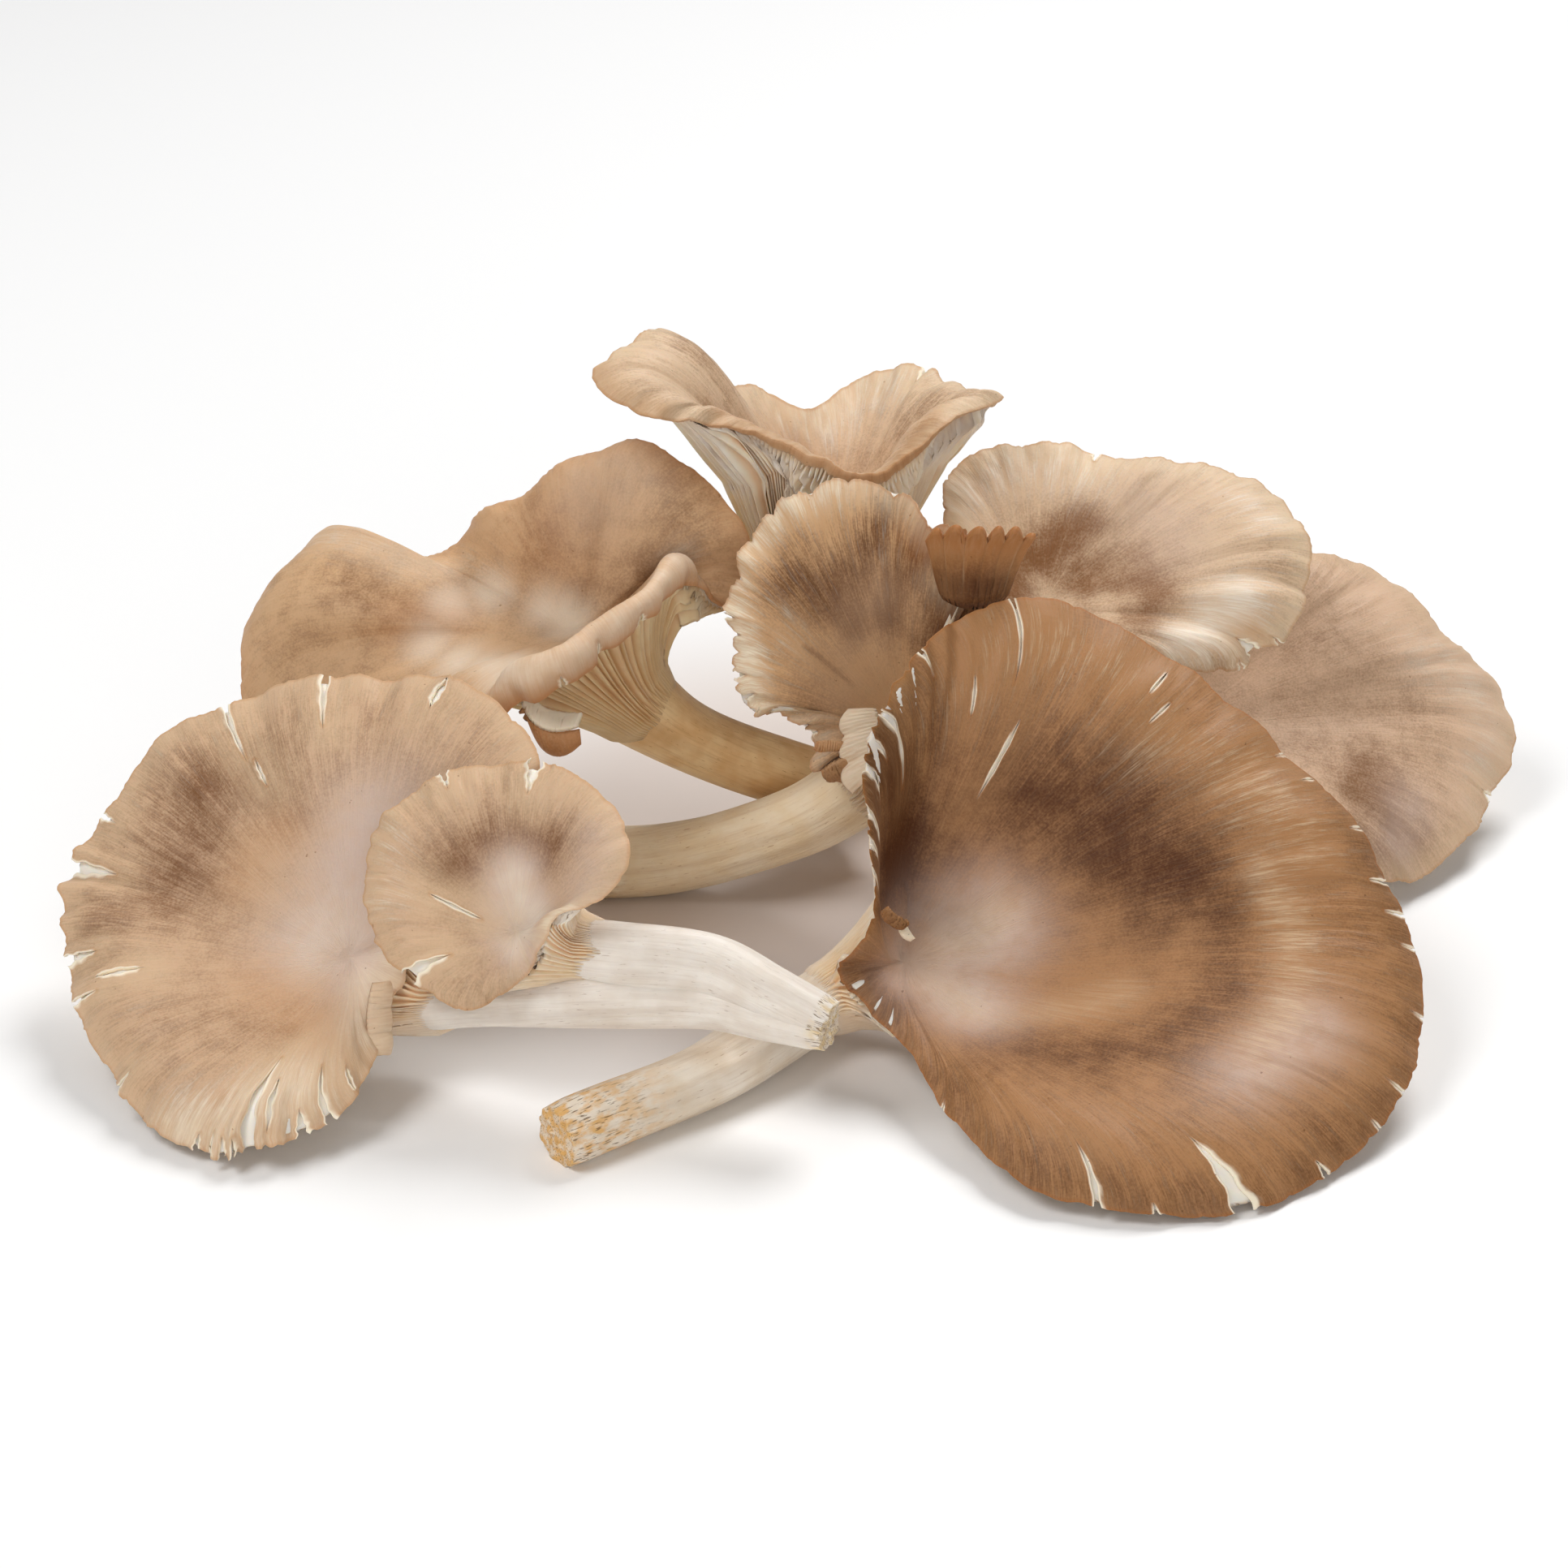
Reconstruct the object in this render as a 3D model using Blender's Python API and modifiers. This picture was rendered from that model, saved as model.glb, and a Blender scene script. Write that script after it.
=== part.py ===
"""Oyster mushroom cluster: eight fruit bodies lying together, each a folded cap skin over one gilled stem.

Lengths in the tables are millimetres and angles are degrees; the objects are made in metres with +Z up.
"""

import bpy
import numpy as np

SKIN = 1.4  # thickness of the coloured cap skin
GAP = 0.4  # space kept between a cap skin and the gilled body under it
EDGE = 0.7  # thickness of the gilled body at its rim
FLESH = 2.6  # extra flesh under the skin where the cap meets the stem
GILL_DEPTH = 3.4  # height of a gill at its deepest
# Rings of the gilled face, from near the rim in to the stem: how far out each is, and how high its gills.
GILL_RINGS = ((0.90, 0.35), (0.62, 1.00), (0.30, 0.79), (0.00, 0.55))
OUTMOST_GILL = 0.93  # the first of those rings lies just inside this share of the cap's reach
FULL_REACH = 22  # a cap side shorter than this has smaller gills and less flesh
THROAT_FLUTES = 0.7  # height of the gills where they fade out on the stem
EVENNESS = 0.4  # how evenly the gills and fibres leave the joint, from 0 to 1
SQUARENESS = 0.5  # how squarely they meet the rim
PULL = 1.05  # fullness of the curve from the stem to the rim
ROLL_PULL = 0.9  # extra fullness where the rim is rolled right under
ROLL_START = 60  # slope at which a rim counts as rolled under
ROLL_RANGE = 50
STEM_RINGS = 8  # rings of a stem from its throat to the cut
CUT_TAPER = 0.93
TO_ORIGIN = (-5.5, -4.0, 0.6)  # moves the whole cluster so that it stands on z = 0 round the origin
NO_FLOOR = -1e3

SHARES = (0.30, 0.58, 0.82, 0.95, 1.0)  # rings of a cap, as shares of the way from the stem to the rim

# Each cap: the joint with its stem, the way it faces, how steeply it leaves the joint ("bowl"), how many
# gills it has, its colour, and the points of its rim as (angle round the joint, reach from the joint, height
# over the joint, slope of the surface at the rim). Then how far down the stem its flared throat reaches, and
# the stem's path as (x, y, z, radius).
CAPS = {
    "front_right": {
        "joint": (20, -21, 16), "facing": (0.19, -0.48, 0.86), "bowl": 4, "gills": 42,
        "colour": (0.30, 0.19, 0.12),
        "rim": (
            (11, 78, 20, -35), (21, 73, 23, -35), (33, 67, 25, -30), (52, 62, 27, -20),
            (66, 61, 28, -10), (77, 57, 28, 0), (86, 51, 27, 20), (103, 36, 27, 50),
            (118, 26, 26, 70), (132, 17, 24, 75), (149, 12, 20, 75), (177, 8, 12, 65),
            (190, 10, 6, 20), (197, 13, 2, -10), (232, 12, 0, -30), (265, 17, 2, -15),
            (278, 33, 8, -15), (288, 51, 15, -25), (299, 62, 20, -30), (310, 70, 21, -30),
            (322, 76, 20, -35), (333, 80, 19, -35), (344, 83, 18, -35), (358, 83, 17, -35),
        ),
        "throat": 12,
        "stem": ((18, -19, 12, 6.5), (10, -18, 8.5, 5.8), (-12, -38, 4.8, 5.7), (-36, -56, 4.2, 5.4)),
    },
    "front_left": {
        "joint": (-71, -27, 20.5), "facing": (-0.35, -0.50, 0.79), "bowl": 3, "gills": 38,
        "colour": (0.50, 0.33, 0.20),
        "rim": (
            (2, 12, -1, -10), (20, 20, 0, -20), (27, 31, 1, -20), (37, 43, 2, -20),
            (54, 49, 3, -20), (67, 50, 3, -20), (79, 51, 3, -20), (92, 52, 4, -20),
            (105, 54, 4, -20), (116, 56, 4, -20), (129, 59, 4, -20), (140, 57, 3, -20),
            (152, 58, 3, -15), (168, 52, 5, -20), (186, 46, 7, -30), (214, 42, 8, -40),
            (232, 42, 8, -45), (245, 41, 7, -45), (256, 37, 6, -45), (268, 32, 3, -45),
            (280, 25, 0, -45), (290, 17, -2, -40), (307, 12, -2, -30), (335, 11, -2, -20),
        ),
        "throat": 13,
        "stem": (
            (-68.5, -25.5, 15, 5.6), (-61, -28, 13, 5.1), (-50, -32.5, 15.8, 5), (-38, -37, 18.5, 5),
            (-27, -39, 20, 5), (-11, -39.5, 19.7, 4.8), (-2, -44, 19.7, 4.4), (7, -48, 19.5, 4),
        ),
    },
    "small": {
        "joint": (-43, -37, 31), "facing": (-0.31, -0.60, 0.74), "bowl": 10, "gills": 24,
        "colour": (0.42, 0.27, 0.17),
        "rim": (
            (352, 10, 7, 0), (1, 17, 7, -20), (13, 22, 7, -30), (35, 25, 7, -30), (53, 26, 6, -30),
            (74, 27, 5, -20), (92, 28, 5, -20), (112, 29, 5, -30), (130, 30, 5, -35),
            (145, 29, 5, -35), (160, 26, 5, -35), (179, 23, 5, -40), (194, 20, 4, -45),
            (219, 17, 2, -50), (237, 15, 0, -50), (258, 11, -1, -50), (291, 8, 0, -30),
            (325, 8, 4, -10),
        ),
        "throat": 11,
        "stem": (
            (-41.5, -34.5, 27.5, 5.2), (-36, -35, 27, 4.8), (-27, -39, 28.5, 4.9),
            (-11, -39.5, 26.3, 4.7), (-2, -44, 23.5, 4.3), (7, -48, 20.5, 3.8),
        ),
    },
    "back_left": {
        "joint": (-37, 33, 50), "facing": (-0.22, -0.10, 0.97), "bowl": 8, "gills": 38,
        "colour": (0.52, 0.34, 0.22),
        "rim": (
            (13, 31, -6, -50), (15, 34, 2, -30), (20, 34, 11, -20), (33, 30, 19, -15),
            (49, 26, 23, -20), (65, 19, 24, -20), (100, 19, 19, -20), (122, 25, 13, -25),
            (137, 34, 6, -35), (142, 45, 7, -45), (144, 55, 9, -50), (154, 58, 7, -50),
            (166, 61, 0, -55), (172, 62, -8, -55), (183, 48, -10, -55), (202, 34, -6, -55),
            (218, 27, -1, -60), (240, 28, -3, -80), (253, 25, 3, -100), (272, 24, 5, -110),
            (292, 20, 7, -115), (320, 20, 8, -115), (350, 20, 7, -110), (3, 23, 3, -90),
            (9, 27, -4, -60),
        ),
        "throat": 12,
        "stem": (
            (-34, 33, 44, 9), (-27, 35, 37, 8), (-17, 38, 28, 6.3), (0, 42, 18, 5.9), (16, 48, 9.5, 5.6),
        ),
    },
    "top": {
        "joint": (8, 57, 56), "facing": (0.05, -0.10, 1.0), "bowl": 35, "gills": 38, "gap": 0.75,
        "colour": (0.60, 0.42, 0.27),
        "rim": (
            (26, 29, 24, -10), (45, 27, 22, 5), (53, 29, 22, 10), (67, 29, 21, 20),
            (81, 28, 18, 30), (105, 20, 15, 35), (124, 25, 19, 30), (143, 25, 22, 20),
            (152, 28, 28, 0), (165, 33, 36, -10), (181, 38, 36, -20), (190, 43, 35, -40),
            (199, 42, 34, -40), (207, 36, 32, -30), (208, 29, 30, -25), (212, 21, 28, -10),
            (226, 14, 25, 5), (256, 13, 23, 15), (290, 15, 22, 20), (330, 16, 24, 10),
            (0, 22, 26, 0), (13, 30, 26, -10),
        ),
        "throat": 9,
        "stem": ((8, 57, 50, 10), (9, 58, 42, 8.4), (14, 64, 23, 6.4), (20, 69, 0.8, 5.9)),
    },
    "centre": {
        "joint": (20, 25, 37), "facing": (-0.25, -0.72, 0.64), "bowl": 22, "gills": 36, "gap": 0.6,
        "colour": (0.56, 0.40, 0.26),
        "rim": (
            (43, 30, 17, 10), (46, 34, 21, 15), (59, 32, 21, 15), (71, 31, 20, 10),
            (81, 36, 18, 0), (94, 38, 19, -10), (106, 39, 20, -10), (115, 39, 20, -15),
            (126, 36, 20, -20), (136, 34, 20, -20), (147, 31, 20, -25), (157, 28, 19, -25),
            (167, 26, 17, -25), (180, 25, 15, -25), (184, 21, 13, -20), (188, 17, 11, -15),
            (201, 15, 8, -20), (217, 17, 7, -30), (232, 15, 4, -30), (250, 11, 2, -20),
            (290, 9, -2, -30), (330, 13, -3, -30), (10, 20, 2, -20),
        ),
        "throat": 10,
        "stem": (
            (19.5, 28, 32, 7.5), (14, 27, 25, 7), (6, 27, 18.5, 6.6), (-6, 29, 12, 6.4),
            (-20, 31.5, 6.6, 6.4), (-36, 32, 5.0, 6.2),
        ),
    },
    "right_back": {
        "joint": (45, 44, 50), "facing": (0.05, -0.42, 0.90), "bowl": 5, "gills": 32,
        "colour": (0.66, 0.50, 0.33),
        "rim": (
            (14, 45, 11, -30), (25, 44, 11, -30), (35, 40, 10, -25), (47, 34, 10, -20),
            (66, 30, 9, -20), (88, 30, 8, -15), (105, 31, 7, -15), (126, 29, 7, -15),
            (142, 23, 6, -10), (163, 17, 5, -10), (205, 16, 2, -20), (245, 14, 0, -40),
            (290, 15, 0, -40), (318, 22, 2, -50), (327, 30, 2, -60), (332, 34, 2, -65),
            (338, 37, 2, -60), (343, 39, 3, -40), (346, 42, 4, -50), (350, 44, 6, -50),
            (356, 45, 8, -40), (4, 46, 10, -30),
        ),
        "throat": 9,
        "stem": ((44.5, 46, 44, 7), (43, 52, 36, 6.4), (41, 61, 20, 6), (39, 66, 0.8, 5.8)),
    },
    "far_right": {
        "joint": (70, 38, 30), "facing": (0.42, -0.30, 0.86), "bowl": 4, "gills": 32,
        "colour": (0.46, 0.31, 0.20),
        "rim": (
            (17, 70, 3, -30), (26, 68, 7, -30), (35, 58, 11, -25), (50, 55, 12, -25),
            (61, 46, 12, -20), (73, 42, 12, -20), (105, 22, 8, -20), (140, 13, 4, -20),
            (190, 11, 0, -30), (250, 12, -3, -40), (305, 20, -6, -40), (325, 32, -5, -40),
            (338, 48, -4, -40), (352, 56, -2, -35), (5, 63, 0, -35),
        ),
        "throat": 10,
        "stem": ((68, 40, 24.5, 7), (62, 42, 17, 6.3), (52, 44, 10, 6), (34, 42, 4.8, 5.8)),
    },
}
STEM_COLOUR = (0.80, 0.70, 0.54)
JOINED_PAIR = ("front_left", "small")


def unit(vectors):
    vectors = np.asarray(vectors, float)
    return vectors / np.linalg.norm(vectors, axis=-1, keepdims=True)


def cap_axes(facing):
    """Three axes of a cap: to its right, up its face, and straight out of it."""
    out = unit(facing)
    right = unit(np.array([1.0, 0.0, 0.0]) - out[0] * out)
    return right, np.cross(out, right), out


def hermite(start, end, start_slope, end_slope, way):
    """The cubic that leaves start along start_slope and reaches end along end_slope, at way from 0 to 1."""
    return (
        (2 * way**3 - 3 * way**2 + 1) * start
        + (way**3 - 2 * way**2 + way) * start_slope
        + (3 * way**2 - 2 * way**3) * end
        + (way**3 - way**2) * end_slope
    )


def along(knots, rows, slopes, at):
    """Rows read at the distances `at` on a cubic through every row."""
    index = np.clip(np.searchsorted(knots, at, side="right") - 1, 0, len(knots) - 2)
    span = (knots[index + 1] - knots[index])[:, None]
    way = (at - knots[index])[:, None] / span
    return hermite(rows[index], rows[index + 1], span * slopes[index], span * slopes[index + 1], way)


def rim_rows(cap, count):
    """`count` rows (across, up, out, slope) spaced evenly round a cap's rim, on a closed cubic."""
    angle, reach, lift, slope = np.array(cap["rim"], float).T
    angle = np.radians(angle)
    rows = np.stack([reach * np.cos(angle), reach * np.sin(angle), lift, slope], axis=1)
    steps = np.linalg.norm(np.roll(rows, -1, axis=0)[:, :3] - rows[:, :3], axis=1) ** 0.8
    knots = np.concatenate([[0], np.cumsum(steps)])
    total = knots[-1]
    wide = np.concatenate([knots[:-1] - total, knots[:-1], knots[:-1] + total, [2 * total]])
    rows = np.concatenate([rows, rows, rows, rows[:1]])
    slopes = np.gradient(rows, wide, axis=0)
    fine = np.linspace(0, total, 1201)
    lengths = np.linalg.norm(np.diff(along(wide, rows, slopes, fine)[:, :3], axis=0), axis=1)
    walked = np.concatenate([[0], np.cumsum(lengths)])
    even = np.interp(np.arange(count) / count * walked[-1], walked, fine)
    return along(wide, rows, slopes, even)


def rolled_under(slopes):
    """From 0, where the rim is open, to 1, where it is rolled right under."""
    return np.clip((-slopes - ROLL_START) / ROLL_RANGE, 0, 1)


def cap_surface(cap, shares):
    """Points [ring, column] of a cap's upper face, its unit normals, and the angles at which columns leave.

    Each column is a cubic from the joint out to its rim point: it leaves at the bowl angle and arrives at
    the rim's own slope, which rolls the edge under when it is steep.
    """
    rim = rim_rows(cap, cap["gills"])
    flat, lift, slope, bowl = rim[:, :2], rim[:, 2:3], np.radians(rim[:, 3:4]), np.radians(cap["bowl"])
    reach = np.linalg.norm(flat, axis=1, keepdims=True)
    pull = (PULL + ROLL_PULL * rolled_under(rim[:, 3:4])) * np.hypot(reach, lift)
    tangent = np.roll(flat, -1, axis=0) - np.roll(flat, 1, axis=0)
    across = unit(np.stack([tangent[:, 1], -tangent[:, 0]], axis=1))
    leaving = leaving_angles(flat)
    start = np.stack([np.cos(leaving), np.sin(leaving)], axis=1)
    finish = unit(flat / reach + SQUARENESS * across)
    way = np.array(shares)[:, None, None]
    out = hermite(0, flat, pull * np.cos(bowl) * start, pull * np.cos(slope) * finish, way)
    height = hermite(0, lift, pull * np.sin(bowl), pull * np.sin(slope), way)
    right, up, facing = cap_axes(cap["facing"])
    points = np.array(cap["joint"], float) + out[..., :1] * right + out[..., 1:] * up + height * facing
    inner = np.concatenate([np.broadcast_to(cap["joint"], points[:1].shape), points])
    outward = np.gradient(inner, axis=0)[1:]
    around = np.roll(points, -1, axis=1) - np.roll(points, 1, axis=1)
    return points, unit(np.cross(unit(outward), unit(around)) + 0.15 * facing), leaving


def leaving_angles(flat):
    """The angle at which each column leaves the joint: towards its own rim point, but evened out."""
    angles = np.unwrap(np.arctan2(flat[:, 1], flat[:, 0]))
    even = np.arange(len(angles)) / len(angles) * 2 * np.pi
    return (1 - EVENNESS) * angles + EVENNESS * (even + (angles - even).mean())


def doubled(ring):
    """The ring with a point put halfway along each of its sides."""
    return np.stack([ring, (ring + np.roll(ring, -1, axis=0)) / 2], axis=1).reshape(-1, ring.shape[1])


def stem_rows(path, throat):
    """Rows (x, y, z, radius) of a stem, its start and then evenly from throat to cut; and directions."""
    path = np.array(path, float)
    steps = np.linalg.norm(np.diff(path[:, :3], axis=0), axis=1) ** 0.7
    knots = np.concatenate([[0], np.cumsum(steps)])
    fine = along(knots, path, np.gradient(path, knots, axis=0), np.linspace(0, knots[-1], 301))
    walked = np.concatenate([[0], np.cumsum(np.linalg.norm(np.diff(fine[:, :3], axis=0), axis=1))])
    even = np.append(0, np.linspace(throat, walked[-1], STEM_RINGS))
    rows = np.stack([np.interp(even, walked, column) for column in fine.T], axis=1)
    headings = unit(np.gradient(fine[:, :3], walked, axis=0))
    return rows, unit(np.stack([np.interp(even, walked, column) for column in headings.T], axis=1))


def turned(vectors, before, after):
    """The vectors carried by the smallest turn that takes the direction `before` to `after`."""
    axis, cosine = np.cross(before, after), float(before @ after)
    return vectors + np.cross(axis, vectors) + np.cross(axis, np.cross(axis, vectors)) / (1 + cosine)


class Solid:
    """Rings of points joined one to the next into a closed mesh."""

    def __init__(self):
        self.points, self.faces, self.count = [], [], 0

    def ring(self, points):
        points = np.atleast_2d(points)
        self.points.append(points)
        self.count += len(points)
        return np.arange(self.count - len(points), self.count)

    def fan(self, centre, ring):
        """Triangles from one point to a ring that runs anticlockwise as seen from outside."""
        self.faces += [(int(centre), int(a), int(b)) for a, b in zip(ring, np.roll(ring, -1))]

    def band(self, inner, outer):
        """Faces between two rings; a ring may have twice the points of the other."""
        if len(inner) == len(outer):
            sides = zip(inner, outer, np.roll(outer, -1), np.roll(inner, -1))
            self.faces += [tuple(int(i) for i in side) for side in sides]
            return
        few, many, turn = (inner, outer, 1) if len(inner) < len(outer) else (outer, inner, -1)
        following = np.roll(few, -1)
        for k, (here, there) in enumerate(zip(few, following)):
            a, b, c = many[2 * k], many[2 * k + 1], many[(2 * k + 2) % len(many)]
            for face in ((here, a, b), (here, b, there), (there, b, c)):
                self.faces.append(tuple(int(i) for i in face[::turn]))

    def join(self, last, points):
        """Adds a ring, with a band from the last one to it."""
        ring = self.ring(points)
        self.band(last, ring)
        return ring

    def mesh(self, name, floor=NO_FLOOR):
        """The solid as a mesh; what would sink below the floor is pressed flat on it."""
        points = np.concatenate(self.points) + TO_ORIGIN
        points[:, 2] = np.maximum(points[:, 2], floor)
        mesh = bpy.data.meshes.new(name)
        mesh.from_pydata((points * 0.001).tolist(), [], self.faces)
        mesh.validate()
        return mesh


def skin_solid(cap):
    """The upper face of a cap as an open sheet."""
    points, _, _ = cap_surface(cap, SHARES)
    sheet = Solid()
    joint = sheet.ring(cap["joint"])[0]
    rings = [sheet.ring(ring) for ring in points]
    sheet.fan(joint, rings[0])
    for inner, outer in zip(rings, rings[1:]):
        sheet.band(inner, outer)
    return sheet


def at_shares(rings, shares):
    """One ring of points: each column of `rings` read at its own share of the way out to the rim."""
    known = np.array(SHARES)
    above = np.clip(np.searchsorted(known, shares), 1, len(known) - 1)
    way = np.clip((shares - known[above - 1]) / (known[above] - known[above - 1]), 0, 1)[:, None]
    column = np.arange(rings.shape[1])
    return rings[above - 1, column] * (1 - way) + rings[above, column] * way


def gilled_rings(cap, points, normals, under, inmost):
    """Rings of the underside, from near the rim in to the stem, each with a gill on every second point."""
    reach = np.linalg.norm(points[-1] - np.array(cap["joint"]), axis=1)[:, None]
    rolled = rolled_under(rim_rows(cap, cap["gills"])[:, 3:4])
    crest = np.arange(2 * cap["gills"]) % 2 == 0
    for step, height in GILL_RINGS:
        share = inmost + (OUTMOST_GILL - inmost) * step
        face, normal = doubled(at_shares(points, share)), unit(doubled(unit(at_shares(normals, share))))
        size = np.clip(doubled(reach)[:, 0] / FULL_REACH, 0.25, 1) * (1 - 0.8 * doubled(rolled)[:, 0] * step)
        flesh = (under + EDGE + FLESH * (1 - step) ** 2) * np.clip(size + 0.3, 0, 1)
        yield face - (flesh + crest * GILL_DEPTH * height * size)[:, None] * normal


def stem_frames(cap, directions):
    """Two axes across the stem at each of its rows, carried along it from the cap's own."""
    first, second, facing = cap_axes(cap["facing"])
    heading = -facing
    frames = []
    for direction in directions:
        first, second = turned(first, heading, direction), turned(second, heading, direction)
        heading = direction
        frames.append((first, second))
    return frames


def gilled_solid(cap):
    """Gills, flesh and stem as one closed body.

    The upper face follows the cap's skin from below. The lower face has a ridge on every column, which is a
    gill; the gills run down on to the stem, where they fade out, and the stem ends in a flat cut.
    """
    points, normals, leaving = cap_surface(cap, SHARES)
    under = SKIN + cap.get("gap", GAP)
    body = Solid()
    tops = points - under * normals
    top = body.ring(np.array(cap["joint"]) - under * cap_axes(cap["facing"])[2])[0]
    last = body.ring(tops[0])
    body.fan(top, last)
    for ring in (tops[1], tops[2], doubled(tops[3] - EDGE * 0.5 * normals[3])):
        last = body.join(last, ring)

    stem, directions = stem_rows(cap["stem"], cap["throat"])
    frames = stem_frames(cap, directions)
    reach = np.linalg.norm(points[-1] - np.array(cap["joint"]), axis=1)
    for ring in gilled_rings(cap, points, normals, under, np.clip(1.9 * stem[0, 3] / reach, 0.24, 0.78)):
        last, inward = body.join(last, ring), ring

    following = np.append(leaving[1:], leaving[0] + 2 * np.pi)
    angles = np.stack([leaving, (leaving + following) / 2], axis=1).reshape(-1)
    crest = np.arange(len(angles)) % 2 == 0

    def stem_ring(row, theta, swell):
        across = np.cos(theta)[:, None] * frames[row][0] + np.sin(theta)[:, None] * frames[row][1]
        return stem[row, :3] + (stem[row, 3] + swell)[:, None] * across

    throat = stem_ring(1, angles, crest * THROAT_FLUTES - 0.2)
    drop = np.linalg.norm(throat - inward, axis=1, keepdims=True)
    aim = 0.5 * (stem_ring(0, angles, crest * 0.5) - inward) + 0.3 * (throat - inward)
    last = body.join(last, hermite(inward, throat, aim, 0.8 * drop * directions[1], 0.5))
    last = body.join(last, throat)
    for row in range(2, STEM_RINGS + 1):
        theta = angles[::2] if row == 2 else angles[::4]
        taper = CUT_TAPER if row == STEM_RINGS else 1.0
        last = body.join(last, stem_ring(row, theta, np.full(len(theta), (taper - 1) * stem[row, 3])))
    body.fan(body.ring(stem[-1, :3])[0], last[::-1])
    return body


def material(name, colour):
    made = bpy.data.materials.new(name)
    made.use_nodes = True
    shader = made.node_tree.nodes["Principled BSDF"]
    shader.inputs["Base Color"].default_value = (*colour, 1)
    shader.inputs["Roughness"].default_value = 0.6
    shader.inputs["Metallic"].default_value = 0.0
    made.diffuse_color = (*colour, 1)
    return made


def add(name, mesh, colour, collection):
    mesh.polygons.foreach_set("use_smooth", np.ones(len(mesh.polygons), bool))
    mesh.materials.append(material(name, colour))
    obj = bpy.data.objects.new(name, mesh)
    collection.objects.link(obj)
    return obj


def main():
    for obj in list(bpy.data.objects):
        bpy.data.objects.remove(obj)
    cluster = bpy.data.collections.new("oyster_mushroom_cluster")
    bpy.context.scene.collection.children.link(cluster)
    helpers = bpy.data.collections.new("helpers")
    helpers.hide_render = True
    bpy.context.scene.collection.children.link(helpers)

    stems = {}
    for name, cap in CAPS.items():
        skin = add("cap_" + name, skin_solid(cap).mesh("cap_" + name), cap["colour"], cluster)
        thick = skin.modifiers.new("skin", "SOLIDIFY")
        thick.thickness = SKIN * 0.001
        thick.offset = -1
        home = helpers if name == JOINED_PAIR[1] else cluster
        stems[name] = add("stem_" + name, gilled_solid(cap).mesh("stem_" + name, floor=0), STEM_COLOUR, home)
    pair, other = (stems[name] for name in JOINED_PAIR)
    pair.name = "stems_joined_pair"
    other.hide_render = True
    other.display_type = "WIRE"
    union = pair.modifiers.new("join", "BOOLEAN")
    union.operation = "UNION"
    union.solver = "EXACT"
    union.object = other


main()
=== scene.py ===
"""Oyster mushroom cluster: skins, gills and stems at full detail over the plain solids of the frame.

Lengths in the tables are millimetres and angles are degrees; the finished pieces are in metres with +Z up.
"""

import math

import bpy
import numpy as np
from mathutils import Matrix


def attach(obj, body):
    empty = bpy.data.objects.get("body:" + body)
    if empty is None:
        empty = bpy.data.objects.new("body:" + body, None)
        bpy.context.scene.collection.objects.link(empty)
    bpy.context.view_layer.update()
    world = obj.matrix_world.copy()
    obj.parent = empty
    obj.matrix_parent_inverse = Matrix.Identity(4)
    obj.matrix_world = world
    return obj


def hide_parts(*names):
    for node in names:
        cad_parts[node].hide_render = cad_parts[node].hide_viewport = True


bl_info = {
    "name": "Oyster Mushroom Cluster",
    "version": (1, 0, 0),
    "blender": (4, 5, 0),
    "location": "View3D > Sidebar > Mushrooms",
    "description": "Builds eight picked oyster mushrooms with gilled caps and fibrous stems",
    "category": "Add Mesh",
}

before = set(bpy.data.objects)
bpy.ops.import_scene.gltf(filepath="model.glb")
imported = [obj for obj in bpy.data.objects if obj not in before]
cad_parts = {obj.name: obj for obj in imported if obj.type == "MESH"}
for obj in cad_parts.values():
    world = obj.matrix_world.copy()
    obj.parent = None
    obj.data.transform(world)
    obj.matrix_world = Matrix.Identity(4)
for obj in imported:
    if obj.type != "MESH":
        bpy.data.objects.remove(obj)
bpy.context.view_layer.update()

TAU = 2 * math.pi
MM = 0.001
TO_ORIGIN = (-5.5, -4.0, 0.6)  # moves the tables' own frame on to the cluster's
EVENNESS = 0.4  # how evenly the fibres leave the joint, from 0 to 1
SQUARENESS = 0.5  # how squarely they meet the rim
PULL = 1.05  # fullness of the curve from the stem to the rim
ROLL_PULL = 0.9  # extra fullness where the rim is rolled right under
ROLL_START, ROLL_SPAN = 60, 50  # downward slope where a rim starts to roll under, and the rest of the way
RIM_SAMPLES = 1440
TANGENT_REACH = 16  # samples to either side that give the rim's direction
PATH_SAMPLES = 301
SMALL_STEP = 0.002  # share of the way round or out, across which directions are taken
RIM_KNOTS, PATH_KNOTS = 0.8, 0.7  # a cubic's knots lie apart by its points' distance to this power

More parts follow.
